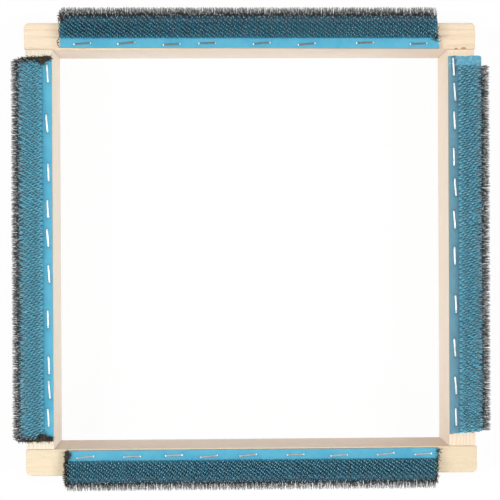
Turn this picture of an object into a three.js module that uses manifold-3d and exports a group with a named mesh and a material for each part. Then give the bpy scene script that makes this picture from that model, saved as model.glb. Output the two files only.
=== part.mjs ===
// Punch needle frame: a square pine frame whose four bars carry gripper strips.
// Millimetres, +Z up. The origin is on the floor, under the middle of the frame.
// The top rail is at +Y and the right stile at +X.

import * as THREE from 'three';
import { mergeVertices } from 'three/addons/utils/BufferGeometryUtils.js';
import Module from 'manifold-3d';

const wasm = await Module();
wasm.setup();

// Wooden bars
const frameSize = 320; // outer length of each rail, and of the frame across its rails
const barWidth = 19;
const barDepth = 38;
const stileSetIn = 1; // the stiles' outer faces stand this far inside the rails' ends
const railCornerRadius = 3.8; // at the four outer corners of the frame
const railInnerCornerRadius = 1.4;
const cornerSteps = 8; // facets round each corner
const edgeEase = 0.9; // rounding along the long edges
const edgeSteps = 3; // facets round each eased edge
const jointGap = 0.2; // glue line between a stile's end and the rail
const railInner = frameSize / 2 - barWidth;
const stileInner = frameSize / 2 - stileSetIn - barWidth;

// Dowels in the corner joints
const dowelRadius = 3;
const dowelLength = 30;
const dowelInRail = 12;
const dowelChamfer = 0.8;
const dowelSides = 12;
const dowelHeights = [11, 27]; // above the floor
const clearance = 0.3; // between a piece and the pocket or face that it sits in

// Staples
const stapleCrown = 12.7;
const stapleWidth = 1.2; // of the flat wire, seen from above
const stapleThickness = 0.6;
const stapleLeg = 10;
const stapleTip = 1.2; // length of the chisel point
const stapleWander = 0.5; // of a staple to either side of its row
const stapleTiltSpread = 0.6; // of a staple's tilt, as a part of the row's own tilt

// Gripper strips: a rubber foundation that holds rows of kneed steel wires
const stripThickness = 2.8;
const stripFlatEnd = 9; // where the foundation starts to lift from the bar's top face
const bendRadius = 4.1; // of the foundation's middle, round the bar's outer edge
const bendBehind = 0.2; // of the bend's centre behind the bar's outer face
const bendBelow = 1.4; // of the bend's centre below the bar's top face
const bendSteps = 4; // facets along each eased stretch, and half of those round the bend
const sideEaseDepth = 10; // where the foundation is back against the bar's outer face
const sideDepth = 15; // of the strip's lower edge below the top face
const fieldEndMargin = 5; // bare band along the strip's lower edge

// Wires, each modelled one standing for a small group of the real ones
const wireRows = 5;
const wireColumns = 21;
const wireRadius = 0.5;
const wireRoot = 0.9; // depth of the foot in the foundation
const wireKnee = 2.7; // height of the knee above the foundation
const wireTip = 3.1; // from the knee to the point
const wireLean = THREE.MathUtils.degToRad(18); // of the upper part

// One entry for each side of the frame. A side's own axes run along it, outward and up,
// from the middle of its bar's inner top edge. from and to are the strip's ends along the
// side, and a skew moves an end by that much for each millimetre outward. The foundation
// starts at inset from the inner edge, its first row of wires at fieldStart, and its wires
// leave the length bareStart bare at the strip's first end.
const sides = [
  {
    name: 'top',
    bar: 'top_rail',
    isRail: true,
    turn: 0,
    strip: { from: -134.1, to: 133.4, fromSkew: 0, toSkew: -0.08, bareStart: 0 },
    inset: 0.3,
    fieldStart: 7.8,
    stapleInset: 3.7,
    stapleTilt: 4,
    staples: [-118.9, -88, -56.1, -31.1, 7.3, 39.1, 80.4, 118.4],
  },
  {
    name: 'left',
    bar: 'left_stile',
    isRail: false,
    turn: Math.PI / 2,
    strip: { from: -134.3, to: 135.4, fromSkew: 0, toSkew: -0.08, bareStart: 0 },
    inset: 0.2,
    fieldStart: 6.5,
    stapleInset: 3.1,
    stapleTilt: 3,
    staples: [-118.7, -99, -81.8, -49.4, -17.5, 7.8, 28.2, 53.8, 88.3, 123.4],
  },
  {
    name: 'bottom',
    bar: 'bottom_rail',
    isRail: true,
    turn: Math.PI,
    strip: { from: -132.1, to: 131.7, fromSkew: 0.08, toSkew: 0, bareStart: 0 },
    inset: 0.8,
    fieldStart: 7.8,
    stapleInset: 4.9,
    stapleTilt: 4,
    staples: [-121.4, -94.8, -61.7, -30.8, 2.7, 30.3, 55, 84.4, 117.4],
  },
  {
    name: 'right',
    bar: 'right_stile',
    isRail: false,
    turn: -Math.PI / 2,
    strip: { from: -135.8, to: 132, fromSkew: 0, toSkew: -0.1, bareStart: 6.7 },
    inset: 0.2,
    fieldStart: 6.5,
    stapleInset: 4.1,
    stapleTilt: 3,
    staples: [-128.6, -110.9, -90.7, -64.9, -43.3, -20.3, 5.2, 39.5, 70.3, 97.2, 119.5],
  },
];

// Materials
const pine = new THREE.MeshStandardMaterial({ color: 0xf3dfbf, roughness: 0.7 });
const beech = new THREE.MeshStandardMaterial({ color: 0xe2c59c, roughness: 0.65 });
const foundation = new THREE.MeshStandardMaterial({ color: 0x4c9dbd, roughness: 0.75 });
const steel = new THREE.MeshStandardMaterial({ color: 0xcfd2d2, roughness: 0.3, metalness: 0.9 });

// Solids
function toManifold(geometry) {
  const bare = geometry.clone();
  bare.deleteAttribute('normal');
  bare.deleteAttribute('uv');
  const merged = mergeVertices(bare, 1e-4);
  const mesh = new wasm.Mesh({
    numProp: 3,
    vertProperties: new Float32Array(merged.attributes.position.array),
    triVerts: new Uint32Array(merged.index.array),
  });
  return new wasm.Manifold(mesh);
}

function toGeometry(solid) {
  const mesh = solid.getMesh();
  const geometry = new THREE.BufferGeometry();
  geometry.setAttribute('position', new THREE.BufferAttribute(mesh.vertProperties, 3));
  geometry.setIndex(new THREE.BufferAttribute(mesh.triVerts, 1));
  const faceted = geometry.toNonIndexed();
  faceted.computeVertexNormals();
  return faceted;
}

function cut(geometry, tools) {
  let solid = toManifold(geometry);
  for (const tool of tools) {
    solid = solid.subtract(toManifold(tool));
  }
  return toGeometry(solid);
}

// A section drawn outward and up, swept along the side from one end to the other.
function sweepAlong(section, endAt) {
  const geometry = new THREE.ExtrudeGeometry(section, {
    depth: 1,
    bevelEnabled: false,
    curveSegments: edgeSteps,
  });
  const position = geometry.attributes.position;
  for (let i = 0; i < position.count; i += 1) {
    const outward = position.getX(i);
    const up = position.getY(i);
    const isFarEnd = position.getZ(i) > 0.5;
    position.setXYZ(i, endAt(isFarEnd, outward - up), outward, up);
  }
  geometry.computeVertexNormals();
  return geometry;
}

function roundedRectangle(x0, y0, x1, y1, radii) {
  const [lowLeft, lowRight, highRight, highLeft] = radii;
  const shape = new THREE.Shape();
  shape.moveTo(x0 + lowLeft, y0);
  shape.lineTo(x1 - lowRight, y0);
  shape.absarc(x1 - lowRight, y0 + lowRight, lowRight, -Math.PI / 2, 0, false);
  shape.lineTo(x1, y1 - highRight);
  shape.absarc(x1 - highRight, y1 - highRight, highRight, 0, Math.PI / 2, false);
  shape.lineTo(x0 + highLeft, y1);
  shape.absarc(x0 + highLeft, y1 - highLeft, highLeft, Math.PI / 2, Math.PI, false);
  shape.lineTo(x0, y0 + lowLeft);
  shape.absarc(x0 + lowLeft, y0 + lowLeft, lowLeft, Math.PI, 1.5 * Math.PI, false);
  return shape;
}

// Bars, each with its outer top face at height 0 of the side's own axes
function railGeometry() {
  const half = frameSize / 2;
  const inner = railInnerCornerRadius;
  const outer = railCornerRadius;
  const plan = roundedRectangle(-half, 0, half, barWidth, [inner, inner, outer, outer]);
  const geometry = new THREE.ExtrudeGeometry(plan, {
    depth: barDepth - 2 * edgeEase,
    curveSegments: cornerSteps,
    bevelThickness: edgeEase,
    bevelSize: edgeEase,
    bevelOffset: -edgeEase,
    bevelSegments: edgeSteps,
  });
  return geometry.translate(0, 0, edgeEase - barDepth);
}

function stileGeometry() {
  const half = railInner - jointGap;
  const radii = [edgeEase, edgeEase, edgeEase, edgeEase];
  const section = roundedRectangle(0, -barDepth, barWidth, 0, radii);
  return sweepAlong(section, (isFarEnd) => (isFarEnd ? half : -half));
}

function boxAt(size, centre) {
  return new THREE.BoxGeometry(...size).translate(...centre);
}

function dowelHole(depth, direction, mouth) {
  const radius = dowelRadius + clearance;
  const hole = new THREE.CylinderGeometry(radius, radius, 2 * depth, dowelSides);
  const toAxis = new THREE.Quaternion().setFromUnitVectors(new THREE.Vector3(0, 1, 0), direction);
  return hole.applyQuaternion(toAxis).translate(mouth.x, mouth.y, mouth.z);
}

function railDowelHoles() {
  const reach = stileInner + barWidth / 2;
  const direction = new THREE.Vector3(0, 1, 0);
  return [-reach, reach].flatMap((along) =>
    dowelHeights.map((height) => {
      const mouth = new THREE.Vector3(along, 0, height - barDepth);
      return dowelHole(dowelInRail + clearance, direction, mouth);
    }),
  );
}

function stileDowelHoles() {
  const end = railInner - jointGap;
  const depth = dowelLength - dowelInRail + clearance;
  const direction = new THREE.Vector3(1, 0, 0);
  return [-end, end].flatMap((along) =>
    dowelHeights.map((height) => {
      const mouth = new THREE.Vector3(along, barWidth / 2, height - barDepth);
      return dowelHole(depth, direction, mouth);
    }),
  );
}

function dowelGeometry() {
  const half = dowelLength / 2;
  const profile = [
    new THREE.Vector2(0, -half),
    new THREE.Vector2(dowelRadius - dowelChamfer, -half),
    new THREE.Vector2(dowelRadius, dowelChamfer - half),
    new THREE.Vector2(dowelRadius, half - dowelChamfer),
    new THREE.Vector2(dowelRadius - dowelChamfer, half),
    new THREE.Vector2(0, half),
  ];
  return new THREE.LatheGeometry(profile, dowelSides);
}

// Staples, each with its crown across the strip's bare margin and its legs in the wood
const crownTop = stripThickness + 2 * clearance + stapleThickness;

function stapleGeometry() {
  const outer = stapleCrown / 2;
  const inner = outer - stapleThickness;
  const bend = stapleThickness / 2;
  const foot = -stapleLeg;
  const outline = new THREE.Shape();
  outline.moveTo(-outer, foot + stapleTip);
  outline.lineTo(-inner, foot);
  outline.lineTo(-inner, -stapleThickness);
  outline.lineTo(inner, -stapleThickness);
  outline.lineTo(inner, foot);
  outline.lineTo(outer, foot + stapleTip);
  outline.lineTo(outer, -bend);
  outline.lineTo(outer - bend, 0);
  outline.lineTo(bend - outer, 0);
  outline.lineTo(-outer, -bend);
  const geometry = new THREE.ExtrudeGeometry(outline, { depth: stapleWidth, bevelEnabled: false });
  return geometry.translate(0, 0, -stapleWidth / 2).rotateX(Math.PI / 2);
}

// Hand-driven staples lean and wander a little, each unlike the one before.
function staplePlaces(side) {
  return side.staples.map((along, index) => {
    const sway = Math.sin(2.3 * index + side.turn);
    const lean = 1 + stapleTiltSpread * Math.sin(1.7 * index);
    const tilt = THREE.MathUtils.degToRad(side.stapleTilt * lean);
    return { along, inset: side.stapleInset + stapleWander * sway, tilt };
  });
}

function legPockets(side) {
  const reach = (stapleCrown - stapleThickness) / 2;
  const low = crownTop - stapleLeg - clearance;
  const high = stripThickness + 2 * clearance;
  const size = [stapleThickness + 2 * clearance, stapleWidth + 2 * clearance, high - low];
  return staplePlaces(side).flatMap((place) =>
    [-reach, reach].map((offset) =>
      boxAt(size, [offset, 0, (high + low) / 2])
        .rotateZ(place.tilt)
        .translate(place.along, place.inset, 0),
    ),
  );
}

// The foundation's middle line, from its edge beside the opening, over the bar's top face,
// round the outer edge and down the outer face
function stripMiddle(inset) {
  const flat = clearance + stripThickness / 2;
  const side = barWidth + clearance + stripThickness / 2;
  const centre = new THREE.Vector2(barWidth - bendBehind, -bendBelow);
  const start = new THREE.Vector2(inset, flat);
  const lift = new THREE.Vector2(stripFlatEnd, flat);
  const crest = new THREE.Vector2(centre.x, centre.y + bendRadius);
  const shoulder = new THREE.Vector2(centre.x + bendRadius, centre.y);
  const back = new THREE.Vector2(side, -sideEaseDepth);
  const end = new THREE.Vector2(side, -sideDepth);
  const rise = (crest.x - lift.x) / 2;
  const drop = (shoulder.y - back.y) / 2;
  const path = new THREE.CurvePath();
  path.add(new THREE.LineCurve(start, lift));
  path.add(
    new THREE.CubicBezierCurve(
      lift,
      new THREE.Vector2(lift.x + rise, lift.y),
      new THREE.Vector2(crest.x - rise, crest.y),
      crest,
    ),
  );
  path.add(new THREE.EllipseCurve(centre.x, centre.y, bendRadius, bendRadius, Math.PI / 2, 0, true));
  path.add(
    new THREE.CubicBezierCurve(
      shoulder,
      new THREE.Vector2(shoulder.x, shoulder.y - drop),
      new THREE.Vector2(back.x, back.y + drop),
      back,
    ),
  );
  path.add(new THREE.LineCurve(back, end));
  return path;
}

function upFrom(tangent) {
  return new THREE.Vector2(-tangent.y, tangent.x);
}

function foundationGeometry(strip, middle) {
  const points = middle.getPoints(bendSteps);
  const last = points.length - 1;
  const offset = (distance) =>
    points.map((point, i) => {
      const ahead = points[Math.min(i + 1, last)];
      const behind = points[Math.max(i - 1, 0)];
      const tangent = ahead.clone().sub(behind).normalize();
      return point.clone().addScaledVector(upFrom(tangent), distance);
    });
  const under = offset(-stripThickness / 2);
  const over = offset(stripThickness / 2).reverse();
  const section = new THREE.Shape([...under, ...over]);
  const { from, to, fromSkew, toSkew } = strip;
  return sweepAlong(section, (isFarEnd, outward) =>
    isFarEnd ? to + toSkew * outward : from + fromSkew * outward,
  );
}

// One kneed wire of three sides: it stands straight up from the foundation to its knee,
// leans outward from there and ends in a needle point.
function addWire(vertices, triangles, along, foot, tangent) {
  const up = upFrom(tangent);
  const knee = foot.clone().addScaledVector(up, wireKnee);
  const tip = knee.clone().addScaledVector(up, wireTip * Math.cos(wireLean));
  tip.addScaledVector(tangent, wireTip * Math.sin(wireLean));
  const root = foot.clone().addScaledVector(up, -wireRoot);
  const first = vertices.length / 3;
  for (const centre of [root, knee]) {
    for (let corner = 0; corner < 3; corner += 1) {
      const angle = (2 * Math.PI * corner) / 3;
      const point = centre.clone().addScaledVector(tangent, wireRadius * Math.cos(angle));
      vertices.push(along + wireRadius * Math.sin(angle), point.x, point.y);
    }
  }
  vertices.push(along, tip.x, tip.y);
  triangles.push(first, first + 1, first + 2);
  for (let corner = 0; corner < 3; corner += 1) {
    const a = first + corner;
    const b = first + ((corner + 1) % 3);
    triangles.push(a, a + 3, b);
    triangles.push(b, a + 3, b + 3);
    triangles.push(a + 3, first + 6, b + 3);
  }
}

// The wires stand in rows along the strip, each row a fraction of the pitch further on, so
// that they make the slanting lines of a twill.
function wiresGeometry(side, middle) {
  const { strip } = side;
  const length = middle.getLength();
  const rowStart = side.fieldStart - side.inset;
  const rowEnd = length - fieldEndMargin;
  const vertices = [];
  const triangles = [];
  for (let row = 0; row < wireRows; row += 1) {
    const travelled = rowStart + ((rowEnd - rowStart) * row) / (wireRows - 1);
    const centre = middle.getPointAt(travelled / length);
    const tangent = middle.getTangentAt(travelled / length);
    const foot = centre.clone().addScaledVector(upFrom(tangent), stripThickness / 2);
    const outward = foot.x - foot.y;
    const first = strip.from + strip.bareStart + strip.fromSkew * outward;
    const last = strip.to + strip.toSkew * outward;
    const pitch = (last - first) / wireColumns;
    for (let column = 0; column < wireColumns; column += 1) {
      const along = first + pitch * (column + (row + 0.5) / wireRows);
      addWire(vertices, triangles, along, foot, tangent);
    }
  }
  const geometry = new THREE.BufferGeometry();
  geometry.setAttribute('position', new THREE.Float32BufferAttribute(vertices, 3));
  geometry.setIndex(triangles);
  return geometry;
}

function stripGeometry(side) {
  const middle = stripMiddle(side.inset);
  let solid = toManifold(foundationGeometry(side.strip, middle));
  solid = solid.add(toManifold(wiresGeometry(side, middle)));
  for (const pocket of legPockets(side)) {
    solid = solid.subtract(toManifold(pocket));
  }
  return toGeometry(solid);
}

// Assembly
function named(name, geometry, material) {
  const mesh = new THREE.Mesh(geometry, material);
  mesh.name = name;
  return mesh;
}

function buildSide(side) {
  const group = new THREE.Group();
  const bare = side.isRail ? railGeometry() : stileGeometry();
  const dowelHoles = side.isRail ? railDowelHoles() : stileDowelHoles();
  const bar = cut(bare, [...dowelHoles, ...legPockets(side)]);
  group.add(named(side.bar, bar, pine));
  group.add(named(`gripper_strip_${side.name}`, stripGeometry(side), foundation));
  staplePlaces(side).forEach((place, index) => {
    const number = String(index + 1).padStart(2, '0');
    const staple = named(`staple_${side.name}_${number}`, stapleGeometry(), steel);
    staple.position.set(place.along, place.inset, crownTop);
    staple.rotation.z = place.tilt;
    group.add(staple);
  });
  const reach = side.isRail ? railInner : stileInner;
  group.rotation.z = side.turn;
  group.position.set(-reach * Math.sin(side.turn), reach * Math.cos(side.turn), barDepth);
  return group;
}

function buildDowels() {
  const group = new THREE.Group();
  const reach = stileInner + barWidth / 2;
  const middle = railInner + dowelInRail - dowelLength / 2;
  for (const [endName, endSign] of [['top', 1], ['bottom', -1]]) {
    for (const [sideName, sideSign] of [['left', -1], ['right', 1]]) {
      dowelHeights.forEach((height, index) => {
        const level = index === 0 ? 'lower' : 'upper';
        const dowel = named(`dowel_${endName}_${sideName}_${level}`, dowelGeometry(), beech);
        dowel.position.set(sideSign * reach, endSign * middle, height);
        group.add(dowel);
      });
    }
  }
  return group;
}

const frame = new THREE.Group();
frame.name = 'punch_needle_frame';
for (const side of sides) {
  frame.add(buildSide(side));
}
frame.add(buildDowels());

export default frame;
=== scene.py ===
"""Looks of a punch needle frame: four pine bars that carry stapled strips of wire gripper.

Every size is in metres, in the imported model's own axes: +Z up out of the working face, +Y to
the top rail and +X to the right stile.
"""

import logging
import math
from dataclasses import dataclass, field
from enum import Enum
from typing import Callable, Sequence

import bmesh
import bpy
import numpy as np
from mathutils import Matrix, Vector, noise


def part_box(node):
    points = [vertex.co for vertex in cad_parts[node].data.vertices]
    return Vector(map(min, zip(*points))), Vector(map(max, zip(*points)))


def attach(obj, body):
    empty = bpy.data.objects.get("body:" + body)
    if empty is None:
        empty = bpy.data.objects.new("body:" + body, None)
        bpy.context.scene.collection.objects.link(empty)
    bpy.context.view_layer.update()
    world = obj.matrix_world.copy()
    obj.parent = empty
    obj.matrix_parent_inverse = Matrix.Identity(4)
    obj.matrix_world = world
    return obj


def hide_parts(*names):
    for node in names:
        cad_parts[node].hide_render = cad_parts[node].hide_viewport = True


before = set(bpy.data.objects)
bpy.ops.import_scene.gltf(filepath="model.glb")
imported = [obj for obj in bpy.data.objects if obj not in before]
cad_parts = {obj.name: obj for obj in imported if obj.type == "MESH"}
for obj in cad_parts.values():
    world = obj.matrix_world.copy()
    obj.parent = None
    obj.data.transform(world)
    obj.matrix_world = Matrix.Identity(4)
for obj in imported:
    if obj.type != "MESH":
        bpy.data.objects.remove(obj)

MM = 0.001
BODY = "root"
YARN_PITCH = 0.75 * MM
log = logging.getLogger("punch_needle_frame")

Colour = tuple[float, float, float]


def mm(*sizes: float) -> tuple[float, ...]:
    """Sizes in millimetres, as metres."""
    return tuple(size * MM for size in sizes)


def bell(distance: np.ndarray, width: float) -> np.ndarray:
    """1 where a distance is nothing, falling off to both sides within a width."""
    return np.exp(-((distance / width) ** 2))


def lumps(x: np.ndarray, y: np.ndarray | float, z: float) -> np.ndarray:
    """Smooth noise from -1 to 1 at points, of which a number may be the same for all."""
    return np.array([noise.noise(Vector(spot)) for spot in np.broadcast(x, y, z)])


# The frame's own sides


class Side(Enum):
    """A side of the frame, as the nodes name it, with its turn from the top side in quarters."""

    TOP = 0
    LEFT = 1
    BOTTOM = 2
    RIGHT = 3

    @property
    def label(self) -> str:
        """The side's name in the names of pieces."""
        return self.name.lower()

    @property
    def bar(self) -> str:
        """The node of the side's bar."""
        return f"{self.label}_{'rail' if self.value % 2 == 0 else 'stile'}"

    @property
    def strip(self) -> str:
        """The node of the side's gripper strip."""
        return f"gripper_strip_{self.label}"


@dataclass(frozen=True)
class SideAxes:
    """A side's own axes: along it, outward and up, from the middle of its bar's inner top edge."""

    origin: np.ndarray
    basis: np.ndarray

    @classmethod
    def of(cls, side: Side) -> "SideAxes":
        """Reads a side's axes from its bar's node.

        Args:
            side: The side of the frame.

        Returns:
            The side's axes.
        """
        turn = side.value * math.pi / 2
        along = np.array([math.cos(turn), math.sin(turn), 0.0])
        outward = np.array([-math.sin(turn), math.cos(turn), 0.0])
        low, high = (np.array(corner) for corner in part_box(side.bar))
        reach = min(float(low @ outward), float(high @ outward))
        origin = outward * reach + np.array([0.0, 0.0, high[2]])
        return cls(origin, np.stack([along, outward, [0.0, 0.0, 1.0]]))

    def to_frame(self, points: np.ndarray) -> np.ndarray:
        """Takes points or rows of points from the side's axes to the frame's."""
        return points @ self.basis + self.origin

    def from_frame(self, points: np.ndarray) -> np.ndarray:
        """Takes rows of points from the frame's axes to the side's."""
        return (points - self.origin) @ self.basis.T


# Work at the bench


class Bench:
    """Modelling steps that several pieces share, done with operators."""

    @staticmethod
    def clear() -> None:
        """Leaves nothing selected, in object mode."""
        if bpy.context.object is not None and bpy.context.object.mode != "OBJECT":
            bpy.ops.object.mode_set(mode="OBJECT")
        bpy.ops.object.select_all(action="DESELECT")

    @staticmethod
    def take(piece: bpy.types.Object) -> None:
        """Makes one piece the active one and the only one selected.

        Args:
            piece: The piece to take.
        """
        Bench.clear()
        piece.select_set(True)
        bpy.context.view_layer.objects.active = piece

    @staticmethod
    def edit(piece: bpy.types.Object, whole: bool = False) -> None:
        """Opens a piece in edit mode, with all or nothing of it selected.

        Args:
            piece: The piece to open.
            whole: Whether all of it is selected.
        """
        Bench.take(piece)
        bpy.ops.object.mode_set(mode="EDIT")
        bpy.ops.mesh.select_mode(type="VERT" if whole else "FACE")
        bpy.ops.mesh.select_all(action="SELECT" if whole else "DESELECT")

    @staticmethod
    def merge(piece: bpy.types.Object, gap: float) -> None:
        """Merges the vertices that lie closer than a gap, and leaves all of them selected."""
        Bench.edit(piece, whole=True)
        bpy.ops.mesh.remove_doubles(threshold=gap)

    @staticmethod
    def grid(name: str, columns: int, rows: int) -> bpy.types.Object:
        """Makes a flat grid, 1 metre wide about the origin.

        Args:
            name: The name of the piece and its mesh.
            columns: Its cells along X.
            rows: Its cells along Y.

        Returns:
            The grid.
        """
        Bench.clear()
        bpy.ops.mesh.primitive_grid_add(x_subdivisions=columns, y_subdivisions=rows, size=1.0)
        piece = bpy.context.object
        piece.name = piece.data.name = name
        return piece

    @staticmethod
    def pick_faces(test: Callable[[Vector, Vector], bool]) -> None:
        """Selects the faces of the piece in edit mode that pass a test.

        Args:
            test: Takes a face's middle and normal, and says whether it is wanted.
        """
        mesh = bpy.context.object.data
        shape = bmesh.from_edit_mesh(mesh)
        for face in shape.faces:
            face.select_set(test(face.calc_center_median(), face.normal))
        shape.select_flush(True)
        bmesh.update_edit_mesh(mesh)

    @staticmethod
    def extrude(step: Sequence[float]) -> None:
        """Extrudes the selected faces and moves them by a step."""
        bpy.ops.mesh.extrude_region_move(TRANSFORM_OT_translate={"value": tuple(step)})

    @staticmethod
    def apply(piece: bpy.types.Object, kind: str, **settings: object) -> None:
        """Adds a modifier to a piece and applies it.

        Args:
            piece: The piece to finish.
            kind: The modifier's type.
            **settings: The modifier's values.
        """
        Bench.take(piece)
        modifier = piece.modifiers.new(kind.lower(), kind)
        for name, value in settings.items():
            setattr(modifier, name, value)
        bpy.ops.object.modifier_apply(modifier=modifier.name)

    @staticmethod
    def close_up(piece: bpy.types.Object, angle: float = 40.0) -> None:
        """Turns every face outward and smooths the soft edges.

        Args:
            piece: The piece to finish.
            angle: The sharpest edge that is smoothed, in degrees.
        """
        Bench.edit(piece, whole=True)
        bpy.ops.mesh.normals_make_consistent(inside=False)
        bpy.ops.object.mode_set(mode="OBJECT")
        bpy.ops.object.shade_smooth_by_angle(angle=math.radians(angle))

    @staticmethod
    def points(piece: bpy.types.Object) -> np.ndarray:
        """The places of a piece's vertices, one row each.

        Args:
            piece: The piece to read.

        Returns:
            Its points, in its own axes.
        """
        flat = np.empty(3 * len(piece.data.vertices))
        piece.data.vertices.foreach_get("co", flat)
        return flat.reshape(-1, 3)

    @staticmethod
    def place(piece: bpy.types.Object, points: np.ndarray) -> None:
        """Moves a piece's vertices to the rows of points."""
        piece.data.vertices.foreach_set("co", points.astype(np.float32).ravel())
        piece.data.update()

    @staticmethod
    def mark(piece: bpy.types.Object, name: str, values: np.ndarray) -> None:
        """Writes an attribute that a finish reads.

        Args:
            piece: The piece that gets the attribute.
            name: The attribute's name.
            values: One number or one row of three for each vertex.
        """
        kind, key = ("FLOAT", "value") if values.ndim == 1 else ("FLOAT_VECTOR", "vector")
        attribute = piece.data.attributes.new(name, kind, "POINT")
        attribute.data.foreach_set(key, values.astype(np.float32).ravel())

    @staticmethod
    def fix(piece: bpy.types.Object, finish: bpy.types.Material, slot: str) -> None:
        """Dresses a finished piece and fixes it to the frame.

        Args:
            piece: The finished piece.
            finish: Its material.
            slot: The record's material slot that the finish belongs to. Not used.
        """
        piece.data.materials.clear()
        piece.data.materials.append(finish)
        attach(piece, BODY)


@dataclass
class Pattern:
    """A small piece that is modelled once, to be set many times."""

    points: np.ndarray
    faces: list[tuple[int, ...]]
    along: np.ndarray

    @classmethod
    def of(cls, piece: bpy.types.Object, along: Callable[[np.ndarray], np.ndarray]) -> "Pattern":
        """Takes the pattern off a modelled piece and removes the piece.

        Args:
            piece: The modelled piece.
            along: Gives each vertex's place between the piece's foot and its tip, from 0 to 1.

        Returns:
            The pattern.
        """
        points = Bench.points(piece)
        faces = [tuple(face.vertices) for face in piece.data.polygons]
        mesh = piece.data
        bpy.data.objects.remove(piece)
        bpy.data.meshes.remove(mesh)
        return cls(points, faces, along(points))

    def set_many(self, name: str, places: np.ndarray) -> bpy.types.Object:
        """Makes one piece of many copies.

        Args:
            name: The piece's name.
            places: The points of every copy, as copies, vertices and coordinates.

        Returns:
            The piece, smooth, with the attribute "height" along each copy and "tone", which
            is different for each copy.
        """
        count = len(places)
        size = len(self.points)
        corners = np.array([corner for face in self.faces for corner in face])
        totals = np.array([len(face) for face in self.faces])
        shifts = np.arange(count) * size
        mesh = bpy.data.meshes.new(name)
        mesh.vertices.add(count * size)
        mesh.vertices.foreach_set("co", places.astype(np.float32).ravel())
        mesh.loops.add(count * len(corners))
        mesh.loops.foreach_set("vertex_index", (corners + shifts[:, None]).astype(np.int32).ravel())
        mesh.polygons.add(count * len(totals))
        every = np.tile(totals, count)
        starts = np.concatenate([[0], np.cumsum(every)[:-1]])
        mesh.polygons.foreach_set("loop_start", starts.astype(np.int32))
        mesh.polygons.foreach_set("loop_total", every.astype(np.int32))
        mesh.update(calc_edges=True)
        mesh.validate()
        piece = bpy.data.objects.new(name, mesh)
        bpy.context.scene.collection.objects.link(piece)
        mesh.polygons.foreach_set("use_smooth", np.ones(len(mesh.polygons), bool))
        Bench.mark(piece, "height", np.tile(self.along, count))
        tones = np.random.default_rng(count).random(count)
        Bench.mark(piece, "tone", np.repeat(tones, size))
        return piece


# Finishes


class Signal:
    """A number that changes over a surface. An expression on it adds Math nodes."""

    def __init__(self, recipe: "Recipe", socket: bpy.types.NodeSocket) -> None:
        """Wraps a socket of a recipe's node."""
        self.recipe = recipe
        self.socket = socket

    def output(self, name: str) -> "Signal":
        """Another output of the same node."""
        return Signal(self.recipe, self.socket.node.outputs[name])

    def maths(self, operation: str, *values: object) -> "Signal":
        """Adds one Math node on the values."""
        return self.recipe.add("ShaderNodeMath", {"operation": operation}, dict(enumerate(values)))

    def __add__(self, other: object) -> "Signal":
        """This signal plus another."""
        return self.maths("ADD", self, other)

    __radd__ = __add__

    def __sub__(self, other: object) -> "Signal":
        """This signal less another."""
        return self.maths("SUBTRACT", self, other)

    def __rsub__(self, other: object) -> "Signal":
        """Another value less this signal."""
        return self.maths("SUBTRACT", other, self)

    def __mul__(self, other: object) -> "Signal":
        """This signal times another."""
        return self.maths("MULTIPLY", self, other)

    __rmul__ = __mul__

    def __truediv__(self, other: object) -> "Signal":
        """This signal divided by another."""
        return self.maths("DIVIDE", self, other)

    def fraction(self) -> "Signal":
        """What is left of the signal over a whole number."""
        return self.maths("FRACT", self)

    def root(self) -> "Signal":
        """The signal's square root."""
        return self.maths("SQRT", self)


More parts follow.
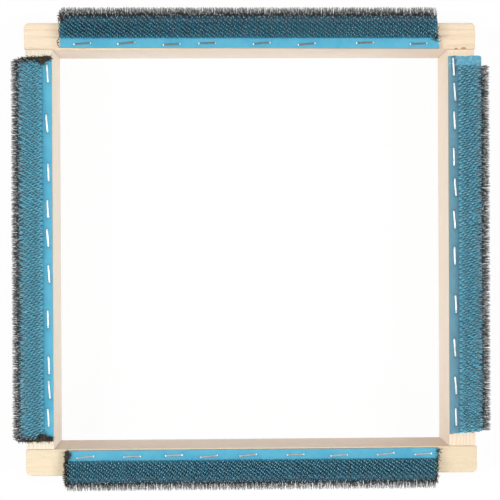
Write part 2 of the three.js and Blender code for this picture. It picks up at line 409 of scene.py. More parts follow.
class Recipe:
    """A material or a world as it is put together."""

    def __init__(self, owner: bpy.types.Material | bpy.types.World) -> None:
        """Starts the nodes of a material or a world afresh.

        Args:
            owner: The material or the world.
        """
        self.owner = owner
        owner.use_nodes = True
        self.tree = owner.node_tree
        self.tree.nodes.clear()

    @classmethod
    def called(cls, name: str) -> "Recipe":
        """Starts a new material of a name."""
        return cls(bpy.data.materials.new(name))

    def add(self, kind: str, settings: dict, sockets: dict, output: str | int = 0) -> Signal:
        """Adds a node.

        Args:
            kind: The node's type.
            settings: Its own values, which are set first; "stops" are a ramp's stops.
            sockets: A value or a link for each named or numbered input.
            output: The output that is given back.

        Returns:
            The output as a signal.
        """
        node = self.tree.nodes.new(kind)
        for name, value in settings.items():
            if name == "stops":
                self._set_stops(node.color_ramp, value)
            else:
                setattr(node, name, value)
        for name, value in sockets.items():
            if isinstance(value, Signal):
                self.tree.links.new(value.socket, node.inputs[name])
            else:
                node.inputs[name].default_value = value
        return Signal(self, node.outputs[output] if node.outputs else None)

    @staticmethod
    def _set_stops(ramp: bpy.types.ColorRamp, stops: Sequence[tuple[float, Colour]]) -> None:
        """Gives a ramp its stops.

        Args:
            ramp: The ramp.
            stops: The place and the colour of each stop, in order.
        """
        while len(ramp.elements) < len(stops):
            ramp.elements.new(1.0)
        for element, (place, colour) in zip(ramp.elements, stops):
            element.position = place
            element.color = (*colour, 1.0)

    def place(self) -> Signal:
        """The point on the piece, in metres."""
        return self.add("ShaderNodeTexCoord", {}, {}, "Object")

    def attribute(self, name: str, output: str = "Fac") -> Signal:
        """An attribute that the piece carries."""
        return self.add("ShaderNodeAttribute", {"attribute_name": name}, {}, output)

    def parts(self, vector: Signal) -> tuple[Signal, Signal, Signal]:
        """A vector's three numbers."""
        x = self.add("ShaderNodeSeparateXYZ", {}, {"Vector": vector})
        return x, x.output("Y"), x.output("Z")

    def vector(self, x: object, y: object, z: object) -> Signal:
        """A vector of three numbers."""
        return self.add("ShaderNodeCombineXYZ", {}, {"X": x, "Y": y, "Z": z})

    def on_vectors(self, operation: str, *vectors: object, output: str | int = 0) -> Signal:
        """Adds one Vector Math node on the vectors."""
        settings = {"operation": operation}
        return self.add("ShaderNodeVectorMath", settings, dict(enumerate(vectors)), output)

    def speckle(
        self, vector: Signal, scale: float | Colour, detail: float = 2.0, rough: float = 0.5
    ) -> Signal:
        """Smooth noise from 0 to 1.

        Args:
            vector: Where the noise is read.
            scale: Its lumps for each unit of the vector, the same or one for each axis.
            detail: The finer layers on it.
            rough: How strong those are.

        Returns:
            The noise.
        """
        if isinstance(scale, tuple):
            vector, scale = self.on_vectors("MULTIPLY", vector, scale), 1.0
        sockets = {"Vector": vector, "Scale": scale, "Detail": detail, "Roughness": rough}
        return self.add("ShaderNodeTexNoise", {}, sockets)

    def between(self, value: Signal, low: float, high: float) -> Signal:
        """Rises smoothly from 0 to 1 as a value goes from low to high."""
        sockets = {"Value": value, "From Min": low, "From Max": high}
        return self.add("ShaderNodeMapRange", {"interpolation_type": "SMOOTHSTEP"}, sockets)

    def ramp(self, value: Signal, stops: Sequence[tuple[float, Colour]]) -> Signal:
        """A colour that follows a value through stops."""
        return self.add("ShaderNodeValToRGB", {"stops": stops}, {"Fac": value}, "Color")

    def mix(self, factor: object, first: object, second: object, way: str = "MIX") -> Signal:
        """Mixes two colours.

        Args:
            factor: How much of the second shows.
            first: The colour below.
            second: The colour above.
            way: How the second is laid on the first.

        Returns:
            The mixed colour.
        """
        settings = {"data_type": "RGBA", "blend_type": way}
        colours = {6: first, 7: second}
        full = {key: (*c, 1.0) if isinstance(c, tuple) else c for key, c in colours.items()}
        return self.add("ShaderNodeMix", settings, {0: factor, **full}, 2)

    def bump(self, height: Signal, distance: float, under: Signal | None = None) -> Signal:
        """Relief on a surface.

        Args:
            height: The relief, from 0 to 1.
            distance: Its full height in metres.
            under: Coarser relief that it lies on.

        Returns:
            The normal.
        """
        sockets = {"Height": height, "Distance": distance, "Strength": 1.0}
        if under is not None:
            sockets["Normal"] = under
        return self.add("ShaderNodeBump", {}, sockets)

    def surface(self, **sockets: object) -> bpy.types.Material:
        """Closes the material with one Principled surface.

        Args:
            **sockets: The surface's values, with a low line for each space in a name.

        Returns:
            The finished material.
        """
        named = {name.replace("_", " "): value for name, value in sockets.items()}
        shader = self.add("ShaderNodeBsdfPrincipled", {}, named)
        return self.close(shader)

    def close(self, shader: Signal) -> bpy.types.Material | bpy.types.World:
        """Links a shader to the output and gives the material or the world back.

        Args:
            shader: The finished shader.

        Returns:
            The material or the world.
        """
        kind = "World" if isinstance(self.owner, bpy.types.World) else "Material"
        self.add(f"ShaderNodeOutput{kind}", {}, {"Surface": shader})
        return self.owner


class Grain(Enum):
    """The way that a bar's grain runs in the frame, named by the kind of bar."""

    ALONG_X = "rail"
    ALONG_Y = "stile"


@dataclass(frozen=True)
class Stain:
    """A small mark on the wood: its middle, its reach along each axis and its colour."""

    middle: tuple[float, float, float]
    reach: tuple[float, float, float]
    colour: Colour
    strength: float = 0.8


@dataclass(frozen=True)
class PineFinish:
    """Bare planed pine, cut from a board whose pith lies outside the bar."""

    bar: str
    pith: tuple[float, float]
    ring: float = 2.6 * MM
    sway: float = 3.2 * MM
    ripple: float = 1.5 * MM
    pale: Colour = (0.95, 0.79, 0.60)
    amber: Colour = (0.83, 0.61, 0.41)
    warmth: Colour = (0.70, 0.55, 0.45)
    resin: Colour = (0.52, 0.35, 0.21)
    # side: painted light and shade, a tint on the bar's side faces as the lamps fall on them.
    side: Colour = (0.97, 1.03, 1.17)
    rings: float = 1.0
    blush: float = 0.0
    shift: float = 0.0
    stains: tuple[Stain, ...] = ()

    def make(self) -> bpy.types.Material:
        """Makes the material: growth rings, fibres, short pores, handling marks, and painted light
        and shade on the side faces.

        Returns:
            The material.
        """
        recipe = Recipe.called(f"pine_{self.bar}")
        place = recipe.place()
        x, y, z = recipe.parts(place)
        grain = Grain(self.bar.split("_")[1])
        along, across = (x, y) if grain is Grain.ALONG_X else (y, x)
        wood = recipe.vector(along + self.shift, across, z)
        drift = recipe.speckle(wood, (9.0, 60.0, 60.0))
        side = across - self.pith[0]
        depth = z - self.pith[1]
        wave = recipe.speckle(wood, (42.0, 160.0, 160.0))
        radius = (side * side + depth * depth).root() + (drift - 0.5) * self.sway
        radius = radius + (wave - 0.5) * self.ripple
        phase = (radius / self.ring).fraction()
        late = recipe.between(phase, 0.35, 0.93) * (1 - recipe.between(phase, 0.93, 1.0))
        patch = recipe.speckle(wood, (14.0, 90.0, 90.0), 3.0)
        fibre = recipe.speckle(wood, (55.0, 1900.0, 1900.0), 3.0, 0.6)
        pore = recipe.speckle(wood, (260.0, 3600.0, 3600.0), 1.0)
        rings = late * (0.18 + 0.55 * patch) * self.rings
        colour = recipe.mix(rings, self.pale, self.amber)
        warm = recipe.between(along, 0.08, 0.14) * self.blush
        colour = recipe.mix(warm, colour, self.warmth, "MULTIPLY")
        streak = recipe.ramp(fibre, [(0.3, (0.86, 0.84, 0.80)), (0.62, (1.0, 1.0, 1.0))])
        colour = recipe.mix(0.75, colour, streak, "MULTIPLY")
        # Painted light and shade: the faces turned away from up take the side tint.
        facing = recipe.add("ShaderNodeNewGeometry", {}, {}, "Normal")
        turned = 1 - recipe.between(recipe.parts(facing)[2], 0.2, 0.7)
        colour = recipe.mix(turned, colour, self.side, "MULTIPLY")
        dots = recipe.between(pore, 0.66, 0.74)
        colour = recipe.mix(dots * 0.35, colour, self.resin)
        for stain in self.stains:
            colour = self._stained(recipe, place, colour, stain)
        relief = fibre * 0.7 + late * 0.3 - dots
        return recipe.surface(
            Base_Color=colour,
            Roughness=0.58 + 0.14 * fibre,
            Specular_IOR_Level=0.3,
            Normal=recipe.bump(relief, 0.05 * MM),
        )

    @staticmethod
    def _stained(recipe: Recipe, place: Signal, colour: Signal, stain: Stain) -> Signal:
        """Lays a mark on the wood's colour.

        Args:
            recipe: The material that is being made.
            place: The point on the piece.
            colour: The colour below the mark.
            stain: The mark.

        Returns:
            The colour with the mark on it.
        """
        off = recipe.on_vectors("SUBTRACT", place, stain.middle)
        scaled = recipe.on_vectors("DIVIDE", off, stain.reach)
        far = recipe.on_vectors("LENGTH", scaled, output="Value")
        ragged = far + (recipe.speckle(place, 1500.0) - 0.5) * 1.1
        shown = (1 - recipe.between(ragged, 0.5, 1.05)) * stain.strength
        return recipe.mix(shown, colour, stain.colour)


@dataclass(frozen=True)
class DowelFinish:
    """Close-grained hardwood of the dowels in the joints."""

    name: str = "dowel_beech"
    pale: Colour = (0.76, 0.56, 0.36)
    deep: Colour = (0.58, 0.38, 0.22)

    def make(self) -> bpy.types.Material:
        """Makes the material: fine flecks along the dowel.

        Returns:
            The material.
        """
        recipe = Recipe.called(self.name)
        fleck = recipe.speckle(recipe.place(), (1500.0, 140.0, 1500.0), 3.0, 0.6)
        colour = recipe.mix(recipe.between(fleck, 0.4, 0.7), self.pale, self.deep)
        normal = recipe.bump(fleck, 0.04 * MM)
        return recipe.surface(Base_Color=colour, Roughness=0.6, Normal=normal)


@dataclass(frozen=True)
class FoundationFinish:
    """A strip's foundation: a blue rubber face on plies of cream cloth."""

    name: str
    rubber: Colour = (0.105, 0.465, 0.645)
    shade: Colour = (0.075, 0.40, 0.60)
    dust: Colour = (0.15, 0.185, 0.205)
    # Painted light: the brighter blue that the field's rubber takes on the side strips.
    painted_field_light: Colour = (0.205, 0.775, 1.0)
    scar: Colour = (0.34, 0.60, 0.70)
    yarn_gap: Colour = (0.3, 0.26, 0.2)
    dusty: float = 0.0
    # Painted shade on the rubber between the wires of the field.
    painted_field_shade: float = 0.0
    # lift: how much painted light brightens the rubber between the wires.
    lift: float = 0.0
    outer_shade: float = 0.3
    dent_shade: float = 0.1
    # Painted shade round a deeply sunk staple: its middle along and over, and its reach along and
    # over.
    smudge: tuple[float, ...] = ()
    field_start: float = 7.8 * MM
    bare_until: float = -1.0
    cloth: Colour = (0.62, 0.56, 0.46)
    cement: Colour = (0.16, 0.13, 0.11)

    def make(self) -> bpy.types.Material:
        """Makes the material from the attribute "lay": along, over the bar and through.

        Returns:
            The material.
        """
        recipe = Recipe.called(self.name)
        lay = recipe.attribute("lay", "Vector")
        along, over, through = recipe.parts(lay)
        cloud = recipe.speckle(lay, 70.0, 4.0, 0.6)
        fine = recipe.speckle(lay, 2600.0, 2.0)
        colour = recipe.mix(recipe.between(cloud, 0.35, 0.7), self.rubber, self.shade)
        film = recipe.speckle(lay, 160.0, 4.0, 0.6)
        wired = recipe.between(along, self.bare_until, self.bare_until + 2 * MM)
        margin = 1 - recipe.between(over, self.field_start - 1 * MM, self.field_start + 5 * MM)
        dust = (0.7 + 0.6 * film) * (margin * wired + 0.45 * (1 - wired)) * self.dusty
        colour = recipe.mix(dust, colour, self.dust)
        # Painted shade: the rubber in the field and towards the outer edge is darkened as though
        # shadowed by the wires.
        in_field = recipe.between(over, self.field_start - 0.5 * MM, self.field_start + 1.5 * MM)
        dark = tuple(0.25 * part for part in self.shade)
        outer = recipe.between(over, 14 * MM, 21 * MM) * self.outer_shade
        painted_shade_share = 1 - (1 - in_field * self.painted_field_shade) * (1 - outer)
        # Painted light on the rubber between the wires.
        colour = recipe.mix(in_field * self.lift * wired, colour, self.painted_field_light)
        colour = recipe.mix(painted_shade_share * wired, colour, dark)
        colour = recipe.mix(recipe.attribute("dent") * self.dent_shade, colour, dark)
        # Painted shade round the sunk staple.
        if self.smudge:
            middle_along, middle_over, reach_along, reach_over = self.smudge
            off_along = (along - middle_along) / reach_along
            off_over = (over - middle_over) / reach_over
            far = off_along * off_along + off_over * off_over + (film - 0.5) * 0.8
            colour = recipe.mix((1 - recipe.between(far, 0.3, 1.3)) * 0.8, colour, dark)
        if self.bare_until > -1.0:
            smear = recipe.between(recipe.speckle(lay, 420.0, 3.0), 0.45, 0.7)
            colour = recipe.mix(smear * (1 - wired) * 0.45, colour, self.scar)
            pits = recipe.between(recipe.speckle(lay, 1000.0, 1.0), 0.6, 0.72)
            colour = recipe.mix(pits * (1 - wired) * 0.55, colour, dark)
        colour = recipe.mix((fine - 0.5) * 0.12, colour, (1.0, 1.0, 1.0))
        weave = self._weave(recipe, along, over)
        ply = recipe.ramp(through, self._plies())
        ply = recipe.mix(0.5 * (1 - weave), ply, self.yarn_gap, "MULTIPLY")
        face = recipe.between(through, 0.66, 0.70)
        relief = fine * 0.25 + weave * (1 - face)
        return recipe.surface(
            Base_Color=recipe.mix(face, ply, colour),
            Roughness=0.82 - 0.18 * face,
            Specular_IOR_Level=0.35,
            Normal=recipe.bump(relief, 0.1 * MM),
        )

    def _plies(self) -> list[tuple[float, Colour]]:
        """The cloth and cement that a cut edge shows below the rubber.

        Returns:
            The stops of a ramp from the strip's underside to its face.
        """
        return [
            (0.0, self.cloth),
            (0.14, self.cloth),
            (0.17, self.cement),
            (0.20, self.cloth),
            (0.38, self.cloth),
            (0.41, self.cement),
            (0.44, self.cloth),
            (0.66, self.cloth),
        ]

    @staticmethod
    def _weave(recipe: Recipe, along: Signal, over: Signal) -> Signal:
        """A plain weave of thick yarns.

        Args:
            recipe: The material that is being made.
            along: Metres along the strip.
            over: Metres over the bar.

        Returns:
            The cloth's height, from 0 to 1.
        """
        warp = (along / YARN_PITCH).fraction()
        weft = (over / YARN_PITCH).fraction()
        return 16 * warp * (1 - warp) * weft * (1 - weft)


@dataclass(frozen=True)
class WireFinish:
    """Tempered steel wire, dark at the foot and ground bright at the tip, with painted shade and a
    painted glint on the wires of the field.
    """

    name: str
    foot: Colour = (0.20, 0.20, 0.198)
    shaft: Colour = (0.20, 0.20, 0.198)
    tip: Colour = (0.42, 0.42, 0.415)
    # Painted shade on the field's wires, tinted blue as a painted reflection of the rubber.
    shade: Colour = (0.013, 0.055, 0.105)
    # Painted glint on the field's wires, blue as a painted reflection of the rubber, and a paler
    # painted glint near the rim.
    painted_field_glint: Colour = (0.45, 0.88, 1.0)
    painted_rim_glint: Colour = (0.64, 0.70, 0.76)
    rim_shade: Colour = (0.17, 0.205, 0.225)
    oxide: Colour = (0.04, 0.038, 0.034)
    dulled: Colour = (0.5, 0.5, 0.49)
    # Where the painted glint starts up the wire, as a share of its height.
    painted_light_from: float = 0.81
    roughness: float = 0.28

    def make(self) -> bpy.types.Material:
        """Makes the material from the attributes "height", "tone" and "edge", and from each wire's
        painted glint.

        Returns:
            The material.
        """
        recipe = Recipe.called(self.name)
        height = recipe.attribute("height")
        tone = recipe.attribute("tone")
        stops = [
            (0.0, self.foot),
            (0.15, self.foot),
            (0.55, self.shaft),
            (0.8, self.shaft),
            (0.9, self.tip),
        ]
        colour = recipe.ramp(height, stops)
        place = recipe.place()
        edge = recipe.attribute("edge")
        # Above that height the field's wires take the painted glint, as strong as each wire's glint
        # allows, and below it painted shade; wires past the bar's edge keep the steel ramp.
        ground = recipe.between(height, self.painted_light_from, self.painted_light_from + 0.03)
        ground = ground * recipe.attribute("shine")
        rim = recipe.between(edge, 0.0, 0.3)
        painted_tip_colour = recipe.mix(rim, self.painted_field_glint, self.painted_rim_glint)
        inner = recipe.mix(ground, recipe.mix(rim, self.shade, self.rim_shade), painted_tip_colour)
        bent = recipe.between(edge, 0.45, 0.75)
        colour = recipe.mix(bent, inner, colour)
        oxide = recipe.speckle(place, 900.0, 3.0, 0.7)
        rust = recipe.between(oxide, 0.5, 0.8) * 0.4 * bent
        colour = recipe.mix(rust, colour, self.oxide)
        colour = recipe.mix(0.5 * tone * bent, colour, self.dulled, "MULTIPLY")
        return recipe.surface(
            Base_Color=colour,
            Metallic=0.85 - 0.75 * ground * (1 - bent),
            Roughness=self.roughness + 0.25 * oxide,
            Normal=recipe.bump(oxide, 0.02 * MM),
        )


@dataclass(frozen=True)
class StapleFinish:
    """Galvanised staple wire, drawn along its length."""

    name: str
    # The staple's grey carries painted light: bright on the stiles as though catching the side
    # lamps, dark on the top rail.
    zinc: Colour
    glint: Colour = (0.85, 0.85, 0.85)

    def make(self) -> bpy.types.Material:
        """Makes the material from the attribute "lay": along, across and round the wire.

        Returns:
            The material.
        """
        recipe = Recipe.called(self.name)
        lay = recipe.attribute("lay", "Vector")
        drawn = recipe.speckle(lay, (120.0, 9000.0, 9000.0))
        cloud = recipe.speckle(recipe.place(), 420.0, 3.0, 0.6)
        dull = tuple(0.6 * part for part in self.zinc)
        colour = recipe.mix(recipe.between(cloud, 0.45, 0.72) * 0.7, self.zinc, dull)
        end = recipe.parts(lay)[0]
        corner = recipe.between(end * end, (5.2 * MM) ** 2, (5.9 * MM) ** 2)
        colour = recipe.mix(corner, colour, self.glint)
        return recipe.surface(
            Base_Color=colour,
            Metallic=1.0,
            Roughness=0.26 + 0.2 * drawn,
            Normal=recipe.bump(drawn, 0.01 * MM),
        )


@dataclass(frozen=True)
class MatFinish:
    """Brown matter of crushed wire, lint and old cement at a strip's end."""

    name: str = "matted_wire"
    dark: Colour = (0.035, 0.028, 0.019)
    lint: Colour = (0.22, 0.175, 0.12)

    def make(self) -> bpy.types.Material:
        """Makes the material: dark lumps with paler lint on their tops.

        Returns:
            The material.
        """
        recipe = Recipe.called(self.name)
        place = recipe.place()
        lump = recipe.speckle(place, 700.0, 4.0, 0.7)
        thread = recipe.speckle(place, 2400.0, 3.0, 0.7)
        shown = recipe.between(lump * 0.5 + thread * 0.5, 0.47, 0.66)
        colour = recipe.mix(shown, self.dark, self.lint)
        normal = recipe.bump(thread, 0.12 * MM, recipe.bump(lump, 0.3 * MM))
        return recipe.surface(Base_Color=colour, Roughness=0.85, Normal=normal)


@dataclass(frozen=True)
class FloorFinish:
    """A white sweep that keeps a little of the object's shadow."""

    name: str = "white_sweep"
    paper: Colour = (0.94, 0.94, 0.94)
    kept_white: float = 0.93

    def make(self) -> bpy.types.Material:
        """Makes the material: paper to the lamps, and nearly white to the eye and to gloss.

        Returns:
            The material.
        """
        recipe = Recipe.called(self.name)
        seen = self.seen(recipe)
        paper = recipe.add("ShaderNodeBsdfPrincipled", {}, {"Base Color": (*self.paper, 1.0)})
        white = recipe.add("ShaderNodeEmission", {}, {"Color": (1.0, 1.0, 1.0, 1.0)})
        shares = {0: seen * self.kept_white, 1: paper, 2: white}
        return recipe.close(recipe.add("ShaderNodeMixShader", {}, shares))

    @staticmethod
    def seen(recipe: "Recipe") -> Signal:
        """1 for rays from the camera, off gloss or through glass, and 0 for the rest.

        Args:
            recipe: The material or the world that is being made.

        Returns:
            The signal.
        """
        camera = recipe.add("ShaderNodeLightPath", {}, {}, "Is Camera Ray")
        gloss = camera.output("Is Glossy Ray")
        glass = camera.output("Is Transmission Ray")
        return camera.maths("MAXIMUM", camera, gloss.maths("MAXIMUM", gloss, glass))


# Strips


@dataclass(frozen=True)
class WrapLine:
    """The line that a strip's middle follows over its bar, in the side's outward and up axes."""

    inset: float
    thickness: float = 2.8 * MM
    seat: float = 0.3 * MM
    flat_end: float = 9 * MM
    bend_radius: float = 4.1 * MM
    bend_behind: float = 0.2 * MM
    bend_below: float = 1.4 * MM
    ease_depth: float = 10 * MM
    depth: float = 15 * MM
    bar_width: float = 19 * MM
    steps: int = 40
    points: np.ndarray = field(init=False)
    lengths: np.ndarray = field(init=False)

    def __post_init__(self) -> None:
        """Works out the line's points and their distances along it."""
        flat = self.seat + self.face
        side = self.bar_width + flat
        centre = np.array([self.bar_width - self.bend_behind, -self.bend_below])
        start = np.array([self.inset, flat])
        lift = np.array([self.flat_end, flat])
        crest = centre + [0.0, self.bend_radius]
        shoulder = centre + [self.bend_radius, 0.0]
        back = np.array([side, -self.ease_depth])
        end = np.array([side, -self.depth])
        rise = np.array([(crest[0] - lift[0]) / 2, 0.0])
        drop = np.array([0.0, (shoulder[1] - back[1]) / 2])
        t = np.linspace(0.0, 1.0, self.steps + 1)[:, None]
        turn = t * math.pi / 2
        round_edge = centre + self.bend_radius * np.hstack([np.sin(turn), np.cos(turn)])
        runs = [
            start + t * (lift - start),
            self._eased(t, lift, lift + rise, crest - rise, crest),
            round_edge,
            self._eased(t, shoulder, shoulder - drop, back + drop, back),
            back + t * (end - back),
        ]
        points = np.vstack([runs[0], *(run[1:] for run in runs[1:])])
        steps = np.linalg.norm(np.diff(points, axis=0), axis=1)
        object.__setattr__(self, "points", points)
        object.__setattr__(self, "lengths", np.concatenate([[0.0], np.cumsum(steps)]))

    @staticmethod
    def _eased(t: np.ndarray, *corners: np.ndarray) -> np.ndarray:
        """Points of a cubic curve of four corners."""
        a, b, c, d = corners
        return (1 - t) ** 3 * a + 3 * (1 - t) ** 2 * t * b + 3 * (1 - t) * t**2 * c + t**3 * d

    @property
    def length(self) -> float:
        """The whole length of the line."""
        return float(self.lengths[-1])

    @property
    def face(self) -> float:
        """How high the strip's face lies above the line."""
        return self.thickness / 2

    def at(self, over: np.ndarray, above: np.ndarray | float) -> tuple[np.ndarray, np.ndarray]:
        """Finds places on the strip.

        Args:
            over: Distances along the line.
            above: Heights above it, square to the strip.

        Returns:
            The places and the line's directions there, as rows of outward and up.
        """
        ahead = self._on_line(over + 0.2 * MM)
        behind = self._on_line(over - 0.2 * MM)
        tangent = ahead - behind
        tangent /= np.linalg.norm(tangent, axis=-1, keepdims=True)
        normal = np.stack([-tangent[..., 1], tangent[..., 0]], axis=-1)
        return self._on_line(over) + normal * np.asarray(above)[..., None], tangent

    def _on_line(self, over: np.ndarray) -> np.ndarray:
        """Points of the line at distances along it, held inside its ends.

        Args:
            over: The distances.

        Returns:
            The points, as rows of outward and up.
        """
        return np.stack(
            [np.interp(over, self.lengths, self.points[:, axis]) for axis in (0, 1)], axis=-1
        )


@dataclass(frozen=True)
class StripCut:
    """How a strip was cut: its ends along the side, and what lies bare."""

    start: float
    end: float
    inset: float
    field_start: float
    start_skew: float = 0.0
    end_skew: float = 0.0
    bare_start: float = 0.0
    trim_start: float = 0.0

    @property
    def length(self) -> float:
        """The strip's length along the side."""
        return self.end - self.start

    def ends(self, section: np.ndarray) -> tuple[np.ndarray, np.ndarray]:
        """Both ends' places along the side, which the skews move with the way over the bar.

        Args:
            section: Places as rows of outward and up.

        Returns:
            The start and the end at each place.
        """
        out = section[:, 0] - section[:, 1]
        return self.start + self.start_skew * out, self.end + self.end_skew * out


@dataclass(frozen=True)
class EndDetail:
    """Something at one end of a strip, over a part of the way over the bar."""

    at_start: bool
    over: tuple[float, float]

    @property
    def label(self) -> str:
        """The end's name in the names of pieces."""
        return "start" if self.at_start else "end"

    @property
    def run(self) -> float:
        """How far over the bar it runs."""
        return self.over[1] - self.over[0]

    def inward_by(self, inward: np.ndarray) -> Callable[[np.ndarray, np.ndarray], np.ndarray]:
        """Gives places along the side that lie inward of the end, from both ends of the strip."""
        return lambda start, end: start + inward if self.at_start else end - inward


@dataclass(frozen=True)
class Fray(EndDetail):
    """Ragged, matted wire at one end of a strip."""

    depth: float
    hump_at: float = 0.0
    hump: float = 0.0
    past: float = 1.2 * MM
    wires: int = 420
    matted: bool = True
    hump_reach: float = 2.6 * MM
    mat_height: float = 1.9 * MM
    mat_lumps: float = 0.9 * MM
    mat_grid: float = 0.45 * MM
    standing: float = 2.2 * MM


@dataclass(frozen=True)
class LooseThread(EndDetail):
    """A thread of the foundation's cloth that has come loose along a cut end."""

    past: float = 0.5 * MM
    loops_at: float = 4.0 * MM
    loops_reach: float = 2.2 * MM
    loop: float = 0.75 * MM
    pitch: float = 2.1 * MM
    radius: float = 0.26 * MM
    rise: float = 0.35 * MM
    wander: float = 0.25 * MM
    quiver: float = 0.15 * MM

    def line(self, share: np.ndarray) -> tuple[np.ndarray, np.ndarray]:
        """Works out the thread's line.

        Args:
            share: How far along the thread each place is, from 0 to 1.

        Returns:
            The places over the bar and inward, and the line's directions there.
        """
        way = self._spots(share + 0.002) - self._spots(share - 0.002)
        return self._spots(share), way / np.linalg.norm(way, axis=1, keepdims=True)

    def _spots(self, share: np.ndarray) -> np.ndarray:
        """Finds the thread's places, with its loops.

        Args:
            share: How far along the thread each is.

        Returns:
            The places over the bar and inward.
        """
        over = self.over[0] + share * self.run
        turn = over / self.pitch * math.tau
        size = self.loop * bell(over - self.loops_at, self.loops_reach)
        wander = self.wander * np.sin(over * 900.0) + self.quiver * np.sin(over * 2300.0)
        inward = wander - self.past - size * (1 - np.cos(turn))
        return np.column_stack([over - size * np.sin(turn), inward])


@dataclass
class GripperWire:
    """One kneed wire: a stem that stands straight up to the knee, and a leaning upper part."""

    radius: float = 0.2 * MM
    root: float = 0.6 * MM
    knee: float = 2.7 * MM
    reach: float = 3.1 * MM
    lean: float = math.radians(18)
    ground: float = 1.15 * MM
    sides: int = 4

    def pattern(self) -> Pattern:
        """Models the wire, leaning to +Y, with its knee and its ground tip.

        Returns:
            The pattern.
        """
        Bench.clear()
        height = self.root + self.knee
        bpy.ops.mesh.primitive_cylinder_add(
            vertices=self.sides,
            radius=self.radius,
            depth=height,
            location=(0, 0, self.knee - height / 2),
        )
        wire = bpy.context.object
        bpy.ops.object.transform_apply()
        Bench.edit(wire)
        Bench.pick_faces(lambda middle, normal: normal.z > 0.9)
        self._lean_top(self.lean / 2)
        run = self.reach - self.ground
        Bench.extrude((0, run * math.sin(self.lean), run * math.cos(self.lean)))
        Bench.extrude((0, self.ground * math.sin(self.lean), self.ground * math.cos(self.lean)))
        bpy.ops.transform.resize(value=(1.05, 1.05, 1.05))
        Bench.close_up(wire, 60)
        full = self.knee + self.reach * math.cos(self.lean)
        return Pattern.of(wire, lambda points: np.clip(points[:, 2] / full, 0, 1))

    def _lean_top(self, angle: float) -> None:
        """Tilts the selected top face to the upper part's lean, about its own middle.

        Args:
            angle: The tilt, which is half of the lean.
        """
        mesh = bpy.context.object.data
        shape = bmesh.from_edit_mesh(mesh)
        corners = [vertex for vertex in shape.verts if vertex.select]
        middle = sum((vertex.co for vertex in corners), Vector()) / len(corners)
        for vertex in corners:
            vertex.co.z -= (vertex.co.y - middle.y) * math.tan(angle)
        bmesh.update_edit_mesh(mesh)


@dataclass(frozen=True)
class Scatter:
    """How unevenly wires stand. Turns are in degrees, and a crowd's reach in columns and rows."""

    foot: float = 0.055 * MM
    crowd_along: float = 0.28
    crowd_over: float = 0.45
    lost: float = 0.006
    dullest: float = 0.7
    yaw: float = 5.0
    clump_yaw: float = 3.0
    sideways: float = 2.2
    knocked_sideways: float = 1.8
    clump_sideways: float = 2.0
    forward: float = 2.0
    size: float = 0.03
    clumps: float = 150.0


